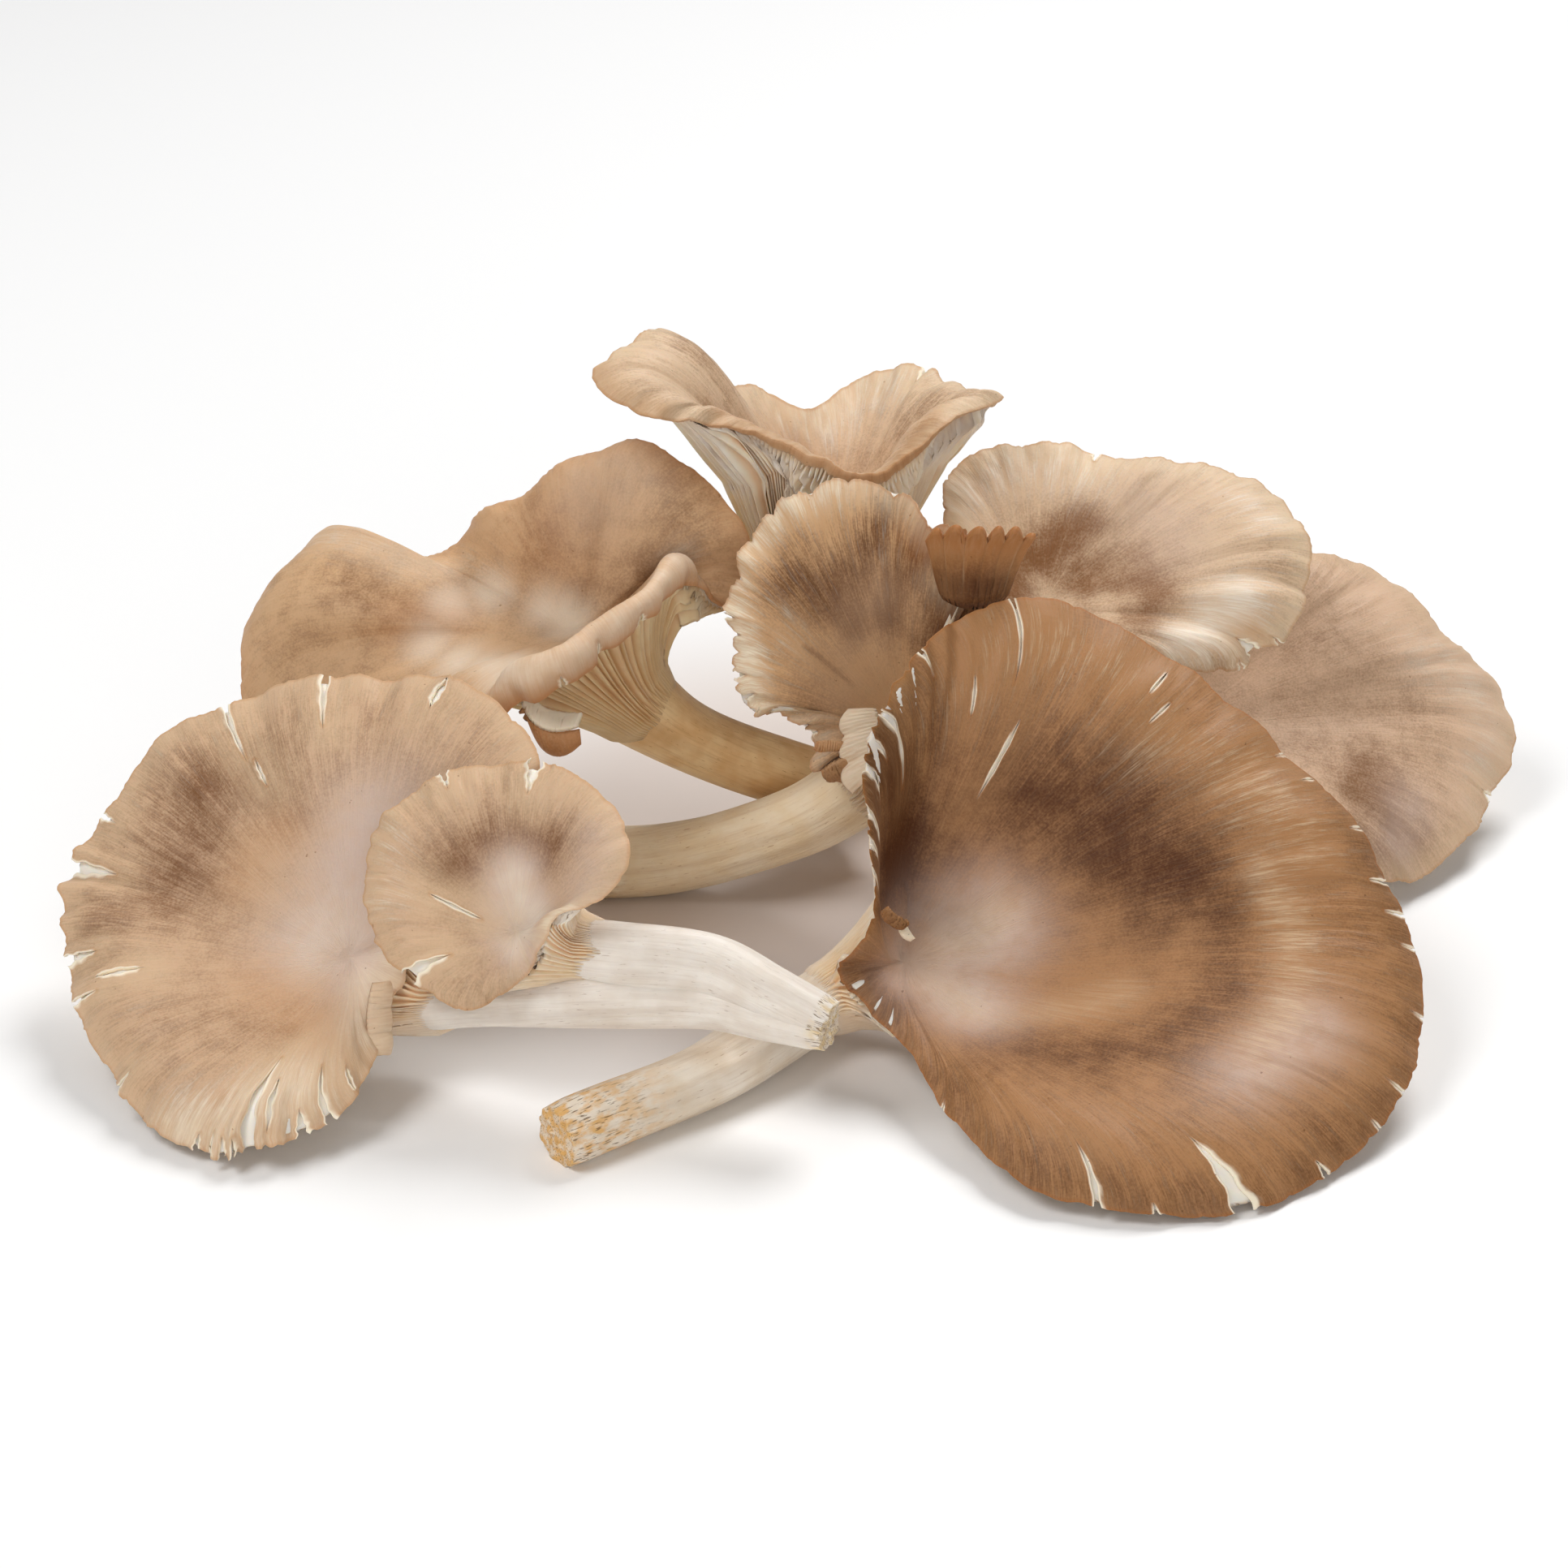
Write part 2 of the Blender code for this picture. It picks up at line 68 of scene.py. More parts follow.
# Each cap. "joint" is where it meets its stem, "facing" the way its face looks, "bowl" its slope at the joint.
# "rim" holds points of the rim as (angle round the joint, reach, height over the joint, slope there), and
# "stem" a path of (x, y, z, radius). The gills run down the stem as far as "throat". "columns" and "rings"
# count the skin's points round and out, and "gills" the blades. The rest is what a fine surface adds:
# waves    (height, how many round the rim, lean, share of the way out where they start, seed)
# pleats   the same, but only between two angles: (from, to, height, width of one, start, seed)
# margin   (depth of the rim's unevenness, waves round the rim)
# torn     the rim torn into teeth between two angles: (from, to, depth, width of one, seed)
# swells   soft raised bands: (from, to, height, share of the way out, spread)
# brim     how much thicker the skin is at the rim, as a share
# thin     where the flesh and gills are thin: (from, to, share of their thickness)
# deep     the height of the gills, against other caps'
# flow     where the fibres bend on their way out: (angle, spread, degrees)
# slits    cracks in the skin, down to its white flesh: (angle, share where it starts, where it ends, width)
# paint    strokes of a tint: (tint, strength, radius, points as (angle, share of the way out))
CAPS = {
    "front_right": {
        "joint": (20, -21, 16), "facing": (0.19, -0.48, 0.86), "bowl": 4,
        "columns": 360, "rings": 48, "gills": 256, "skin": "brown",
        "rim": (
            (11, 78, 20, -35), (21, 73, 23, -35), (33, 67, 25, -30), (52, 62, 27, -20),
            (66, 61, 28, -10), (77, 57, 28, 0), (86, 51, 27, 15), (103, 36, 27, 32),
            (118, 26, 26, 38), (132, 17, 24, 42), (149, 12, 20, 45), (177, 8, 12, 50),
            (190, 10, 6, 20), (197, 13, 2, -10), (232, 12, 0, -30), (265, 17, 2, -15),
            (278, 33, 8, -15), (288, 51, 15, -25), (299, 62, 20, -30), (310, 70, 21, -30),
            (322, 76, 20, -35), (333, 80, 19, -35), (344, 83, 18, -35), (358, 83, 17, -35),
        ),
        "waves": ((0.35, 9, 0.8, 0.3, 31), (0.22, 24, 1.5, 0.4, 32)),
        "pleats": ((74, 116, 0.45, 6, 0.6, 33), (194, 268, 0.6, 2.6, 0.3, 34)),
        "thin": ((92, 192, 0.12),),
        "margin": (0.3, 40),
        "torn": ((98, 180, 2.2, 3.6, 35), (194, 240, 0.6, 4, 36)),
        "flow": ((75, 28, -25), (112, 28, -30)),
        "slits": (
            (77, 0.74, 1.01, 0.6), (72, 0.44, 0.64, 0.6), (86, 0.68, 0.8, 0.4), (108, 0.62, 1.01, 1.0),
            (114, 0.84, 1.01, 0.8), (121, 0.72, 1.01, 1.2), (131, 0.66, 1.01, 1.3), (140, 0.76, 1.01, 0.9),
            (152, 0.7, 1.01, 1.0), (45, 0.78, 0.86, 0.35), (49, 0.85, 0.93, 0.45), (94, 0.88, 1.01, 0.6),
            (296, 0.8, 1.01, 1.1), (313, 0.8, 1.01, 3.2), (325, 0.96, 1.01, 1.4), (303, 0.975, 1.01, 0.8),
            (16, 0.96, 1.01, 0.6), (9, 0.94, 1.01, 0.9), (5, 0.94, 1.01, 0.8), (1, 0.955, 1.01, 0.6),
            (352, 0.965, 1.01, 0.5), (341, 0.95, 1.01, 0.6), (335, 0.965, 1.01, 0.5), (24, 0.95, 0.995, 0.4),
            (29, 0.96, 1.01, 0.4), (277, 0.95, 1.01, 0.5),
        ),
        "paint": (
            ("dark", 0.74, 13, ((52, 0.47), (36, 0.51), (18, 0.54))),
            ("dark", 0.45, 8, ((10, 0.57), (2, 0.58), (350, 0.56), (332, 0.53), (318, 0.44), (304, 0.32))),
            ("dark", 0.95, 8, ((97, 0.25), (96, 0.45), (104, 0.7), (112, 0.9), (135, 0.8))),
            ("dark", 0.6, 6, ((120, 0.5), (160, 0.8))),
            ("dark", 0.45, 8, ((72, 0.3), (84, 0.55), (92, 0.8))),
            ("dark", 0.4, 5, ((18, 0.98), (0, 0.98), (340, 0.98), (318, 0.97), (290, 0.97), (268, 0.97))),
            ("dark", 0.6, 5, ((196, 0.9), (220, 0.7), (250, 0.75))),
            ("rose", 0.8, 8, ((17, 0.2), (14, 0.1), (335, 0.05), (322, 0.17))),
            ("rose", 0.5, 6, ((60, 0.12), (36, 0.24))),
            ("pale", 0.45, 5.5, ((24, 0.22), (17, 0.06), (330, 0.05), (318, 0.18))),
            ("pale", 0.35, 5, ((318, 0.2), (335, 0.3), (345, 0.4))),
            ("pale", 0.45, 5, ((12, 0.69), (0, 0.7), (349, 0.7), (336, 0.69))),
            ("pale", 0.35, 9, ((40, 0.74), (28, 0.8), (16, 0.8))),
            ("pale", 0.25, 7, ((86, 0.75), (70, 0.85), (54, 0.85))),
            ("rose", 0.5, 7, ((343, 0.76), (330, 0.7))),
        ),
        "throat": 12,
        "stem": ((18, -19, 12, 6.5), (10, -18, 8.5, 5.8), (-12, -38, 4.8, 5.7), (-36, -56, 4.2, 5.4)),
    },
    "front_left": {
        "joint": (-71, -27, 20.5), "facing": (-0.35, -0.50, 0.79), "bowl": 3,
        "columns": 360, "rings": 46, "gills": 240, "skin": "tan",
        "rim": (
            (2, 12, -1, -10), (20, 20, 0, -20), (27, 31, 1, -20), (37, 43, 2, -20),
            (54, 49, 3, -20), (67, 50, 3, -20), (79, 51, 3, -20), (92, 52, 4, -20),
            (105, 54, 4, -20), (116, 56, 4, -20), (129, 59, 4, -20), (140, 57, 3, -20),
            (152, 58, 3, -15), (168, 52, 5, -20), (186, 46, 7, -30), (214, 42, 8, -40),
            (232, 42, 8, -45), (245, 41, 7, -45), (256, 37, 6, -45), (268, 32, 3, -45),
            (280, 25, 0, -45), (290, 17, -2, -40), (307, 12, -2, -30), (335, 11, -2, -20),
        ),
        "waves": ((0.4, 8, 0.6, 0.3, 41), (0.28, 26, 1.2, 0.4, 42)),
        "pleats": ((236, 262, 0.7, 5, 0.6, 43), (262, 335, 0.6, 7, 0.5, 44), (150, 190, 0.4, 9, 0.5, 45)),
        "margin": (0.4, 26),
        "torn": ((236, 258, 1.2, 3, 46),),
        "slits": (
            (115, 0.74, 1.01, 1.0), (113, 0.62, 0.73, 0.4), (95, 0.78, 1.01, 1.2), (69, 0.87, 0.985, 1.7),
            (144, 0.93, 1.01, 1.0), (154, 0.81, 1.01, 2.4), (174, 0.86, 1.01, 1.9), (181, 0.69, 0.87, 1.3),
            (185, 0.88, 1.01, 1.2), (211, 0.9, 1.01, 1.3), (251, 0.52, 1.01, 2.4), (255, 0.66, 0.93, 0.8),
            (263, 0.87, 1.01, 2.0), (269, 0.66, 1.01, 1.3), (277, 0.8, 0.97, 0.9), (239, 0.92, 1.01, 0.8),
            (243, 0.9, 1.01, 1.0), (246, 0.91, 1.01, 0.9), (249, 0.92, 1.01, 0.8),
        ),
        "paint": (
            ("dark", 0.62, 11, ((116, 0.66), (124, 0.7), (136, 0.66), (148, 0.64))),
            ("dark", 0.3, 9, ((106, 0.72), (97, 0.66))),
            ("dark", 0.35, 8, ((158, 0.62), (161, 0.75), (166, 0.84))),
            ("rose", 0.8, 9, ((78, 0.45), (95, 0.2), (340, 0.05), (150, 0.12))),
            ("pale", 0.35, 9, ((120, 0.1), (170, 0.12))),
            ("dark", 0.25, 6, ((214, 0.45), (235, 0.42), (196, 0.5))),
            ("pale", 0.7, 7, ((250, 0.75), (262, 0.75), (235, 0.9))),
            ("ochre", 0.35, 7, ((196, 0.3), (221, 0.25), (245, 0.3))),
            ("ochre", 0.3, 5, ((115, 0.45), (140, 0.42))),
            ("pale", 0.8, 6, ((290, 0.8), (310, 0.7), (330, 0.8))),
        ),
        "throat": 13,
        "stem": (
            (-68.5, -25.5, 15, 5.6), (-61, -28, 13, 5.1), (-50, -32.5, 15.8, 5), (-38, -37, 18.5, 5),
            (-27, -39, 20, 5), (-11, -39.5, 19.7, 4.8), (-2, -44, 19.7, 4.4), (7, -48, 19.5, 4),
        ),
    },
    "small": {
        "joint": (-43, -37, 31), "facing": (-0.31, -0.60, 0.74), "bowl": 10,
        "columns": 260, "rings": 42, "gills": 176, "skin": "tan",
        "rim": (
            (352, 10, 7, 0), (1, 17, 7, -20), (13, 22, 7, -30), (35, 25, 7, -30), (53, 26, 6, -30),
            (74, 27, 5, -20), (92, 28, 5, -20), (112, 29, 5, -30), (130, 30, 5, -35),
            (145, 29, 5, -35), (160, 26, 5, -35), (179, 23, 5, -40), (194, 20, 4, -45),
            (219, 17, 2, -50), (237, 15, 0, -50), (258, 11, -1, -50), (291, 8, 0, -30),
            (325, 8, 4, -10),
        ),
        "waves": ((0.3, 7, 0.6, 0.3, 51), (0.16, 26, 1.0, 0.4, 52)),
        "thin": ((318, 385, 0.4),),
        "margin": (0.25, 20),
        "slits": (
            (112, 0.87, 1.01, 1.2), (79, 0.79, 1.01, 2.6), (155, 0.2, 0.5, 0.5), (204, 0.52, 1.01, 2.4),
        ),
        "paint": (
            ("dark", 0.6, 5, ((60, 0.5), (84, 0.52), (102, 0.5), (128, 0.4))),
            ("dark", 0.3, 4, ((145, 0.35), (175, 0.3), (250, 0.4))),
            ("dark", 0.35, 3, ((235, 0.88), (265, 0.92), (290, 0.9))),
            ("rose", 1.0, 5, ((85, 0.3), (95, 0.15), (300, 0.2), (320, 0.6))),
            ("pale", 0.55, 4, ((88, 0.28), (70, 0.1), (300, 0.3))),
            ("rose", 0.4, 6, ((10, 0.6), (30, 0.8))),
            ("pale", 0.3, 5, ((140, 0.8), (165, 0.8))),
            ("pale", 0.9, 2, ((344, 0.95), (356, 0.98))),
        ),
        "throat": 11,
        "stem": (
            (-41.5, -34.5, 27.5, 5.2), (-36, -35, 27, 4.8), (-27, -39, 28.5, 4.9),
            (-11, -39.5, 26.3, 4.7), (-2, -44, 23.5, 4.3), (7, -48, 20.5, 3.8),
        ),
    },
    "back_left": {
        "joint": (-37, 33, 50), "facing": (-0.22, -0.10, 0.97), "bowl": 8,
        "columns": 360, "rings": 48, "gills": 256, "skin": "rosy",
        "rim": (
            (13, 31, -6, -50), (15, 34, 2, -30), (20, 34, 11, -20), (33, 30, 19, -15),
            (49, 26, 23, -20), (65, 19, 24, -20), (100, 19, 19, -20), (122, 25, 13, -25),
            (137, 34, 6, -35), (142, 45, 7, -45), (144, 55, 9, -50), (154, 58, 7, -50),
            (166, 61, 0, -55), (172, 62, -8, -55), (183, 48, -10, -55), (202, 34, -6, -55),
            (218, 27, -1, -60), (240, 28, -3, -80), (253, 25, 3, -100), (272, 24, 5, -110),
            (292, 20, 7, -115), (320, 20, 8, -115), (350, 20, 7, -110), (3, 23, 3, -90),
            (9, 27, -4, -60),
        ),
        "waves": ((0.5, 7, 0.8, 0.25, 61), (0.3, 17, 1.0, 0.35, 62)),
        "swells": ((240, 366, 2.4, 0.92, 0.22),),
        "pleats": ((236, 366, 0.4, 7, 0.75, 63),),
        "margin": (0.3, 14),
        "slits": ((288, 0.86, 1.01, 1.2), (314, 0.9, 1.01, 1.4), (272, 0.93, 1.01, 0.8)),
        "paint": (
            ("dark", 0.4, 7, ((60, 0.22), (142, 0.22), (165, 0.36))),
            ("dark", 0.3, 9, ((130, 0.4), (104, 0.45), (80, 0.5))),
            ("dark", 0.45, 8, ((16, 0.5), (22, 0.75), (30, 0.88))),
            ("dark", 0.3, 6, ((158, 0.68), (160, 0.5))),
            ("ochre", 0.2, 9, ((104, 0.5), (95, 0.7))),
            ("ochre", 0.3, 5, ((170, 0.43), (165, 0.3))),
            ("pale", 0.4, 6, ((146, 0.9), (150, 0.5), (145, 0.4))),
            ("rose", 0.5, 9, ((45, 0.8), (60, 0.6))),
            ("pale", 0.7, 6, ((231, 0.45), (240, 0.6), (80, 0.04))),
            ("pale", 0.75, 5, ((252, 0.84), (280, 0.84), (315, 0.86), (345, 0.86), (5, 0.8))),
            ("ochre", 0.55, 2.5, ((250, 0.98), (280, 0.99), (315, 0.99), (350, 0.99))),
        ),
        "throat": 12,
        "stem": (
            (-34, 33, 44, 9), (-27, 35, 37, 8), (-17, 38, 28, 6.3), (0, 42, 18, 5.9), (16, 48, 9.5, 5.6),
        ),
    },
    "top": {
        "joint": (8, 57, 56), "facing": (0.05, -0.10, 1.0), "bowl": 35,
        "columns": 300, "rings": 44, "gills": 232, "deep": 1.3, "skin": "cream",
        "rim": (
            (26, 29, 24, -40), (45, 27, 22, -10), (53, 29, 22, 10), (67, 29, 21, 20),
            (81, 28, 18, 30), (105, 20, 15, 35), (124, 25, 19, 30), (143, 25, 22, 20),
            (152, 28, 28, 0), (165, 33, 36, -10), (181, 38, 36, -20), (190, 43, 35, -40),
            (199, 42, 34, -40), (207, 36, 32, -30), (208, 29, 30, -25), (212, 21, 28, -10),
            (226, 14, 25, 5), (256, 13, 23, 15), (290, 15, 22, 20), (330, 16, 24, 10),
            (0, 22, 26, -30), (13, 30, 26, -50),
        ),
        "waves": ((0.4, 8, 0.8, 0.3, 71), (0.22, 22, 1.0, 0.4, 72)),
        "brim": 0.9,
        "thin": ((196, 218, 0.6),),
        "margin": (0.3, 12),
        "slits": ((55, 0.9, 1.01, 1.8),),
        "paint": (
            ("dark", 0.3, 6, ((40, 0.4), (34, 0.55), (20, 0.75))),
            ("dark", 0.8, 2.5, ((296, 0.98), (325, 0.95), (348, 0.93))),
            ("ochre", 0.6, 3, ((290, 0.98), (325, 0.93), (352, 0.93))),
            ("ochre", 0.5, 4, ((129, 0.55), (105, 0.5))),
            ("ochre", 0.75, 2.5, ((190, 0.98), (215, 0.97), (250, 0.97), (290, 0.97), (330, 0.97))),
            ("dark", 0.3, 2.5, ((200, 0.99), (215, 0.98), (250, 0.98), (290, 0.98))),
            ("pale", 0.4, 8, ((100, 0.85), (70, 0.85))),
            ("dark", 0.25, 6, ((171, 0.75), (184, 0.5))),
        ),
        "throat": 9,
        "stem": ((8, 57, 50, 10), (9, 58, 42, 8.4), (14, 64, 23, 6.4), (20, 69, 0.8, 5.9)),
    },
    "centre": {
        "joint": (20, 25, 37), "facing": (-0.25, -0.72, 0.64), "bowl": 22,
        "columns": 340, "rings": 44, "gills": 208, "skin": "pale",
        "rim": (
            (43, 30, 17, 10), (46, 34, 21, 15), (59, 32, 21, 15), (71, 31, 20, 10),
            (81, 36, 18, 0), (94, 38, 19, -10), (106, 39, 20, -10), (115, 39, 20, -15),
            (126, 36, 20, -20), (136, 34, 20, -20), (147, 31, 20, -25), (157, 28, 19, -25),
            (167, 26, 17, -25), (180, 25, 15, -25), (184, 21, 13, -20), (188, 17, 11, -15),
            (201, 15, 8, -20), (217, 17, 7, -30), (232, 15, 4, -30), (250, 11, 2, -20),
            (290, 9, -2, -30), (330, 13, -3, -30), (10, 20, 2, -20),
        ),
        "waves": ((0.4, 9, 0.7, 0.3, 81), (0.32, 26, 1.2, 0.35, 82)),
        "pleats": ((84, 180, 0.35, 9, 0.5, 83), (180, 245, 0.6, 6, 0.45, 85)),
        "thin": ((290, 432, 0.2), (172, 290, 0.4)),
        "margin": (0.9, 26),
        "torn": ((140, 200, 1.2, 3.5, 86), (50, 74, 0.5, 4, 87)),
        "slits": (
            (52, 0.72, 1.01, 1.0), (58, 0.75, 0.97, 0.7), (47, 0.8, 1.01, 0.9), (184, 0.76, 0.97, 2.6),
            (168, 0.93, 1.01, 1.4), (150, 0.94, 1.01, 0.9), (176, 0.9, 1.01, 1.0), (195, 0.9, 1.01, 1.2),
        ),
        "paint": (
            ("pale", 0.25, 7, ((148, 0.62), (160, 0.78))),
            ("dark", 0.6, 4, ((86, 0.9), (92, 0.72), (98, 0.6), (108, 0.4))),
            ("dark", 0.7, 4.5, ((72, 0.9), (74, 0.7), (88, 0.45))),
            ("dark", 1.0, 6, ((40, 0.5), (56, 0.62), (50, 0.85))),
            ("dark", 0.6, 5, ((106, 0.62), (118, 0.5), (125, 0.7))),
            ("dark", 0.5, 5, ((190, 0.8), (215, 0.8), (240, 0.8))),
            ("ochre", 1.0, 5, ((42, 0.95), (56, 0.93), (68, 0.95))),
            ("rose", 0.35, 7, ((90, 0.5), (110, 0.35), (150, 0.3))),
            ("pale", 0.5, 3.5, ((100, 0.96), (120, 0.96), (140, 0.95))),
            ("pale", 0.8, 4, ((150, 0.93), (165, 0.88), (178, 0.9))),
            ("dark", 0.45, 0.6, ((143, 0.52), (141, 0.4), (140, 0.26))),
        ),
        "throat": 10,
        "stem": (
            (19.5, 28, 32, 7.5), (14, 27, 25, 7), (6, 27, 18.5, 6.6), (-6, 29, 12, 6.4),
            (-20, 31.5, 6.6, 6.4), (-36, 32, 5.0, 6.2),
        ),
    },
    "right_back": {
        "joint": (45, 44, 50), "facing": (0.05, -0.42, 0.90), "bowl": 5,
        "columns": 300, "rings": 40, "gills": 192, "skin": "cream",
        "rim": (
            (14, 45, 11, -30), (25, 44, 11, -30), (35, 40, 10, -25), (47, 34, 10, -20),
            (66, 30, 9, -20), (88, 30, 8, -15), (105, 31, 7, -15), (126, 29, 7, -15),
            (142, 23, 6, -10), (163, 17, 5, -10), (205, 16, 2, -20), (245, 14, 0, -40),
            (290, 15, 0, -40), (318, 22, 2, -50), (327, 30, 2, -60), (332, 34, 2, -65),
            (338, 37, 2, -60), (343, 39, 3, -40), (346, 42, 4, -50), (350, 44, 6, -50),
            (356, 45, 8, -40), (4, 46, 10, -30),
        ),
        "waves": ((0.4, 8, 0.7, 0.3, 91), (0.3, 22, 1.0, 0.4, 92)),
        "pleats": ((330, 360, 0.4, 5, 0.7, 93),),
        "margin": (0.5, 24),
        "slits": (
            (71, 0.92, 1.01, 1.2), (341, 0.88, 1.01, 2.2), (337, 0.95, 1.01, 0.8), (345, 0.95, 1.01, 0.7),
        ),
        "paint": (
            ("dark", 0.8, 5, ((62, 0.5), (80, 0.28), (110, 0.25), (200, 0.3))),
            ("dark", 0.7, 6, ((30, 0.2), (3, 0.36), (338, 0.45))),
            ("dark", 0.7, 3.5, ((322, 0.95), (329, 0.97), (334, 0.96))),
            ("ochre", 0.5, 3, ((340, 0.86), (344, 0.9))),
            ("pale", 0.8, 6, ((332, 0.7), (340, 0.75), (349, 0.7))),
            ("pale", 0.4, 7, ((99, 0.78), (72, 0.75), (125, 0.85))),
            ("pale", 0.35, 5, ((15, 0.84), (25, 0.8))),
            ("rose", 0.4, 8, ((20, 0.5), (40, 0.6))),
        ),
        "throat": 9,
        "stem": ((44.5, 46, 44, 7), (43, 52, 36, 6.4), (41, 61, 20, 6), (39, 66, 0.8, 5.8)),
    },
    "far_right": {
        "joint": (70, 38, 30), "facing": (0.42, -0.30, 0.86), "bowl": 4,
        "columns": 300, "rings": 40, "gills": 208, "skin": "beige",
        "rim": (
            (17, 70, 3, -30), (26, 68, 7, -30), (35, 58, 11, -25), (50, 55, 12, -25),
            (61, 46, 12, -20), (73, 42, 12, -20), (105, 22, 8, -20), (140, 13, 4, -20),
            (190, 11, 0, -30), (250, 12, -3, -40), (305, 20, -6, -40), (325, 32, -5, -40),
            (338, 48, -4, -40), (352, 56, -2, -35), (5, 63, 0, -35),
        ),
        "waves": ((0.45, 8, 0.9, 0.25, 101), (0.25, 18, 1.1, 0.35, 102)),
        "margin": (0.5, 18),
        "slits": ((5, 0.955, 1.01, 1.6),),
        "paint": (
            ("dark", 0.24, 9, ((22, 0.28), (36, 0.4), (10, 0.3))),
            ("dark", 0.14, 6, ((36, 0.6), (27, 0.6), (10, 0.62))),
            ("dark", 0.7, 9, ((338, 0.9), (346, 0.75), (352, 0.6))),
            ("pale", 0.35, 8, ((10, 0.9), (20, 0.85), (30, 0.75))),
            ("rose", 0.5, 6, ((341, 0.85), (350, 0.75))),
        ),
        "throat": 10,
        "stem": ((68, 40, 24.5, 7), (62, 42, 17, 6.3), (52, 44, 10, 6), (34, 42, 4.8, 5.8)),
    },
}

# Torn and curled pieces of cap. "root" is the line that each grows from, "rise" the way it grows, with its
# length, and "over" the way it curls, by "curl" degrees. It widens by "flare", and "flute" pushes its round
# "lobes" out. Tints are given at the root and at the rim, and "creases" is how pale the folds are.
FLAPS = {
    "crest": {
        "cap": "centre", "skin": "brown",
        "root": ((26.5, 20, 62.5), (31.5, 18, 61.5), (37, 19.5, 62.5)),
        "rise": (0.6, 7.6, 14.6), "over": (0.1, -0.88, 0.47),
        "curl": 62, "flare": 0.75, "lobes": 5.5, "flute": -2.2,
        "dark": (0.9, -0.6), "ochre": (0.0, 0.8), "pale": (-0.3, 0.55), "creases": 0.9,
    },
    "cream_curl": {
        "cap": "centre", "skin": "pale",
        "root": ((15.5, 17, 43.5), (16.5, 15, 39), (16, 12, 33.5)),
        "rise": (-9.0, -1.6, -1.6), "over": (0.2, 0.8, -0.6),
        "curl": 50, "flare": 0.3, "lobes": 3, "flute": 0.5,
        "pale": (0.7, 0.9), "ochre": (0, 0.15), "white": (0.1, 0),
    },
    "brown_curl": {
        "cap": "centre", "skin": "rosy",
        "root": ((5.5, 16.5, 37.5), (9.5, 16.5, 37.5), (12.5, 16.5, 36.5)),
        "rise": (-0.5, -1.5, -5.0), "over": (0, 0.9, 0.1),
        "curl": 70, "flare": 0.1, "lobes": 2, "flute": 0.7,
        "dark": (0.25, 0.5), "ochre": (0.1, 0.5),
    },
    "brown_scrap": {
        "cap": "centre", "skin": "rosy",
        "root": ((11.5, 16, 35.2), (8.5, 15.8, 34.2), (6.2, 15.2, 32.6)),
        "rise": (1.0, -1.2, -3.8), "over": (0.2, 0.9, -0.1),
        "curl": 60, "flare": -0.2, "lobes": 1, "flute": 0.4,
        "dark": (0.4, 0.6), "ochre": (0.1, 0.4),
    },
    "broken_lobe": {
        "cap": "back_left", "skin": "rosy",
        "root": ((-44, 11.4, 47.6), (-41, 9.0, 44.0), (-34.2, 9.2, 43.6)),
        "rise": (2.0, -3.0, -6.6), "over": (0, 0.9, -0.2),
        "curl": 70, "flare": -0.12, "lobes": 1, "flute": 0.8,
        "dark": (0.35, 0.6), "ochre": (0.5, 0.7),
    },
    "broken_flesh": {
        "cap": "back_left", "skin": "rosy",
        "root": ((-44.2, 11.0, 48), (-40.5, 8.6, 43.8), (-34.4, 8.9, 44)),
        "rise": (0.4, 2.2, 2.4), "over": (0.3, 0.9, 0.3),
        "curl": 40, "flare": 0.05, "lobes": 1, "flute": 0.3,
        "pale": (1, 1), "white": (1, 1),
    },
    "ruffles": {
        "cap": "front_left", "skin": "tan",
        "root": ((-66.5, -35.8, 20.7), (-67.5, -38.6, 15.1), (-66.5, -41.2, 10.1)),
        "rise": (5.0, -0.4, 0.6), "over": (0, 0.9, -0.45),
        "curl": 85, "flare": 0.0, "lobes": 3, "flute": 1.1,
        "pale": (0.5, 0.8), "ochre": (0, 0.1),
    },
    "neck_scrap": {
        "cap": "front_right", "skin": "brown",
        "root": ((20.3, -28.2, 27.8), (18.6, -28.3, 28.8), (17, -27.6, 30.2)),
        "rise": (-1.9, -1.0, -0.9), "over": (0.2, 0.8, -0.5),
        "curl": 80, "flare": 0.0, "lobes": 2, "flute": 0.3,
        "dark": (0.4, 0.6), "ochre": (0.2, 0.4),
    },
    "neck_flesh": {
        "cap": "front_right", "skin": "tan",
        "root": ((19.6, -27.2, 27.4), (20.4, -28.4, 26.2), (21.4, -28.2, 24.6)),
        "rise": (-2.1, -0.9, -0.4), "over": (0.2, 0.8, -0.5),
        "curl": 60, "flare": 0.1, "lobes": 1, "flute": 0.3,
        "pale": (1, 0.9), "white": (0.5, 0.4),
    },
}


def unit(vectors):
    """Vectors scaled to length 1."""
    vectors = np.asarray(vectors, float)
    return vectors / np.maximum(np.linalg.norm(vectors, axis=-1, keepdims=True), 1e-9)


def smooth(low, high, value):
    """From 0 below low to 1 above high, with level ends."""
    way = np.clip((value - low) / (high - low), 0, 1)
    return way * way * (3 - 2 * way)


def short_way(value, middle, lap=360):
    """From `middle` to a value, the short way round a lap."""
    return (value - middle + lap / 2) % lap - lap / 2


def distances(points, power=1):
    """How far along a line of points each one lies, with every step raised to a power."""
    steps = np.linalg.norm(np.diff(points, axis=0), axis=1) ** power
    return np.concatenate([[0], np.cumsum(steps)])


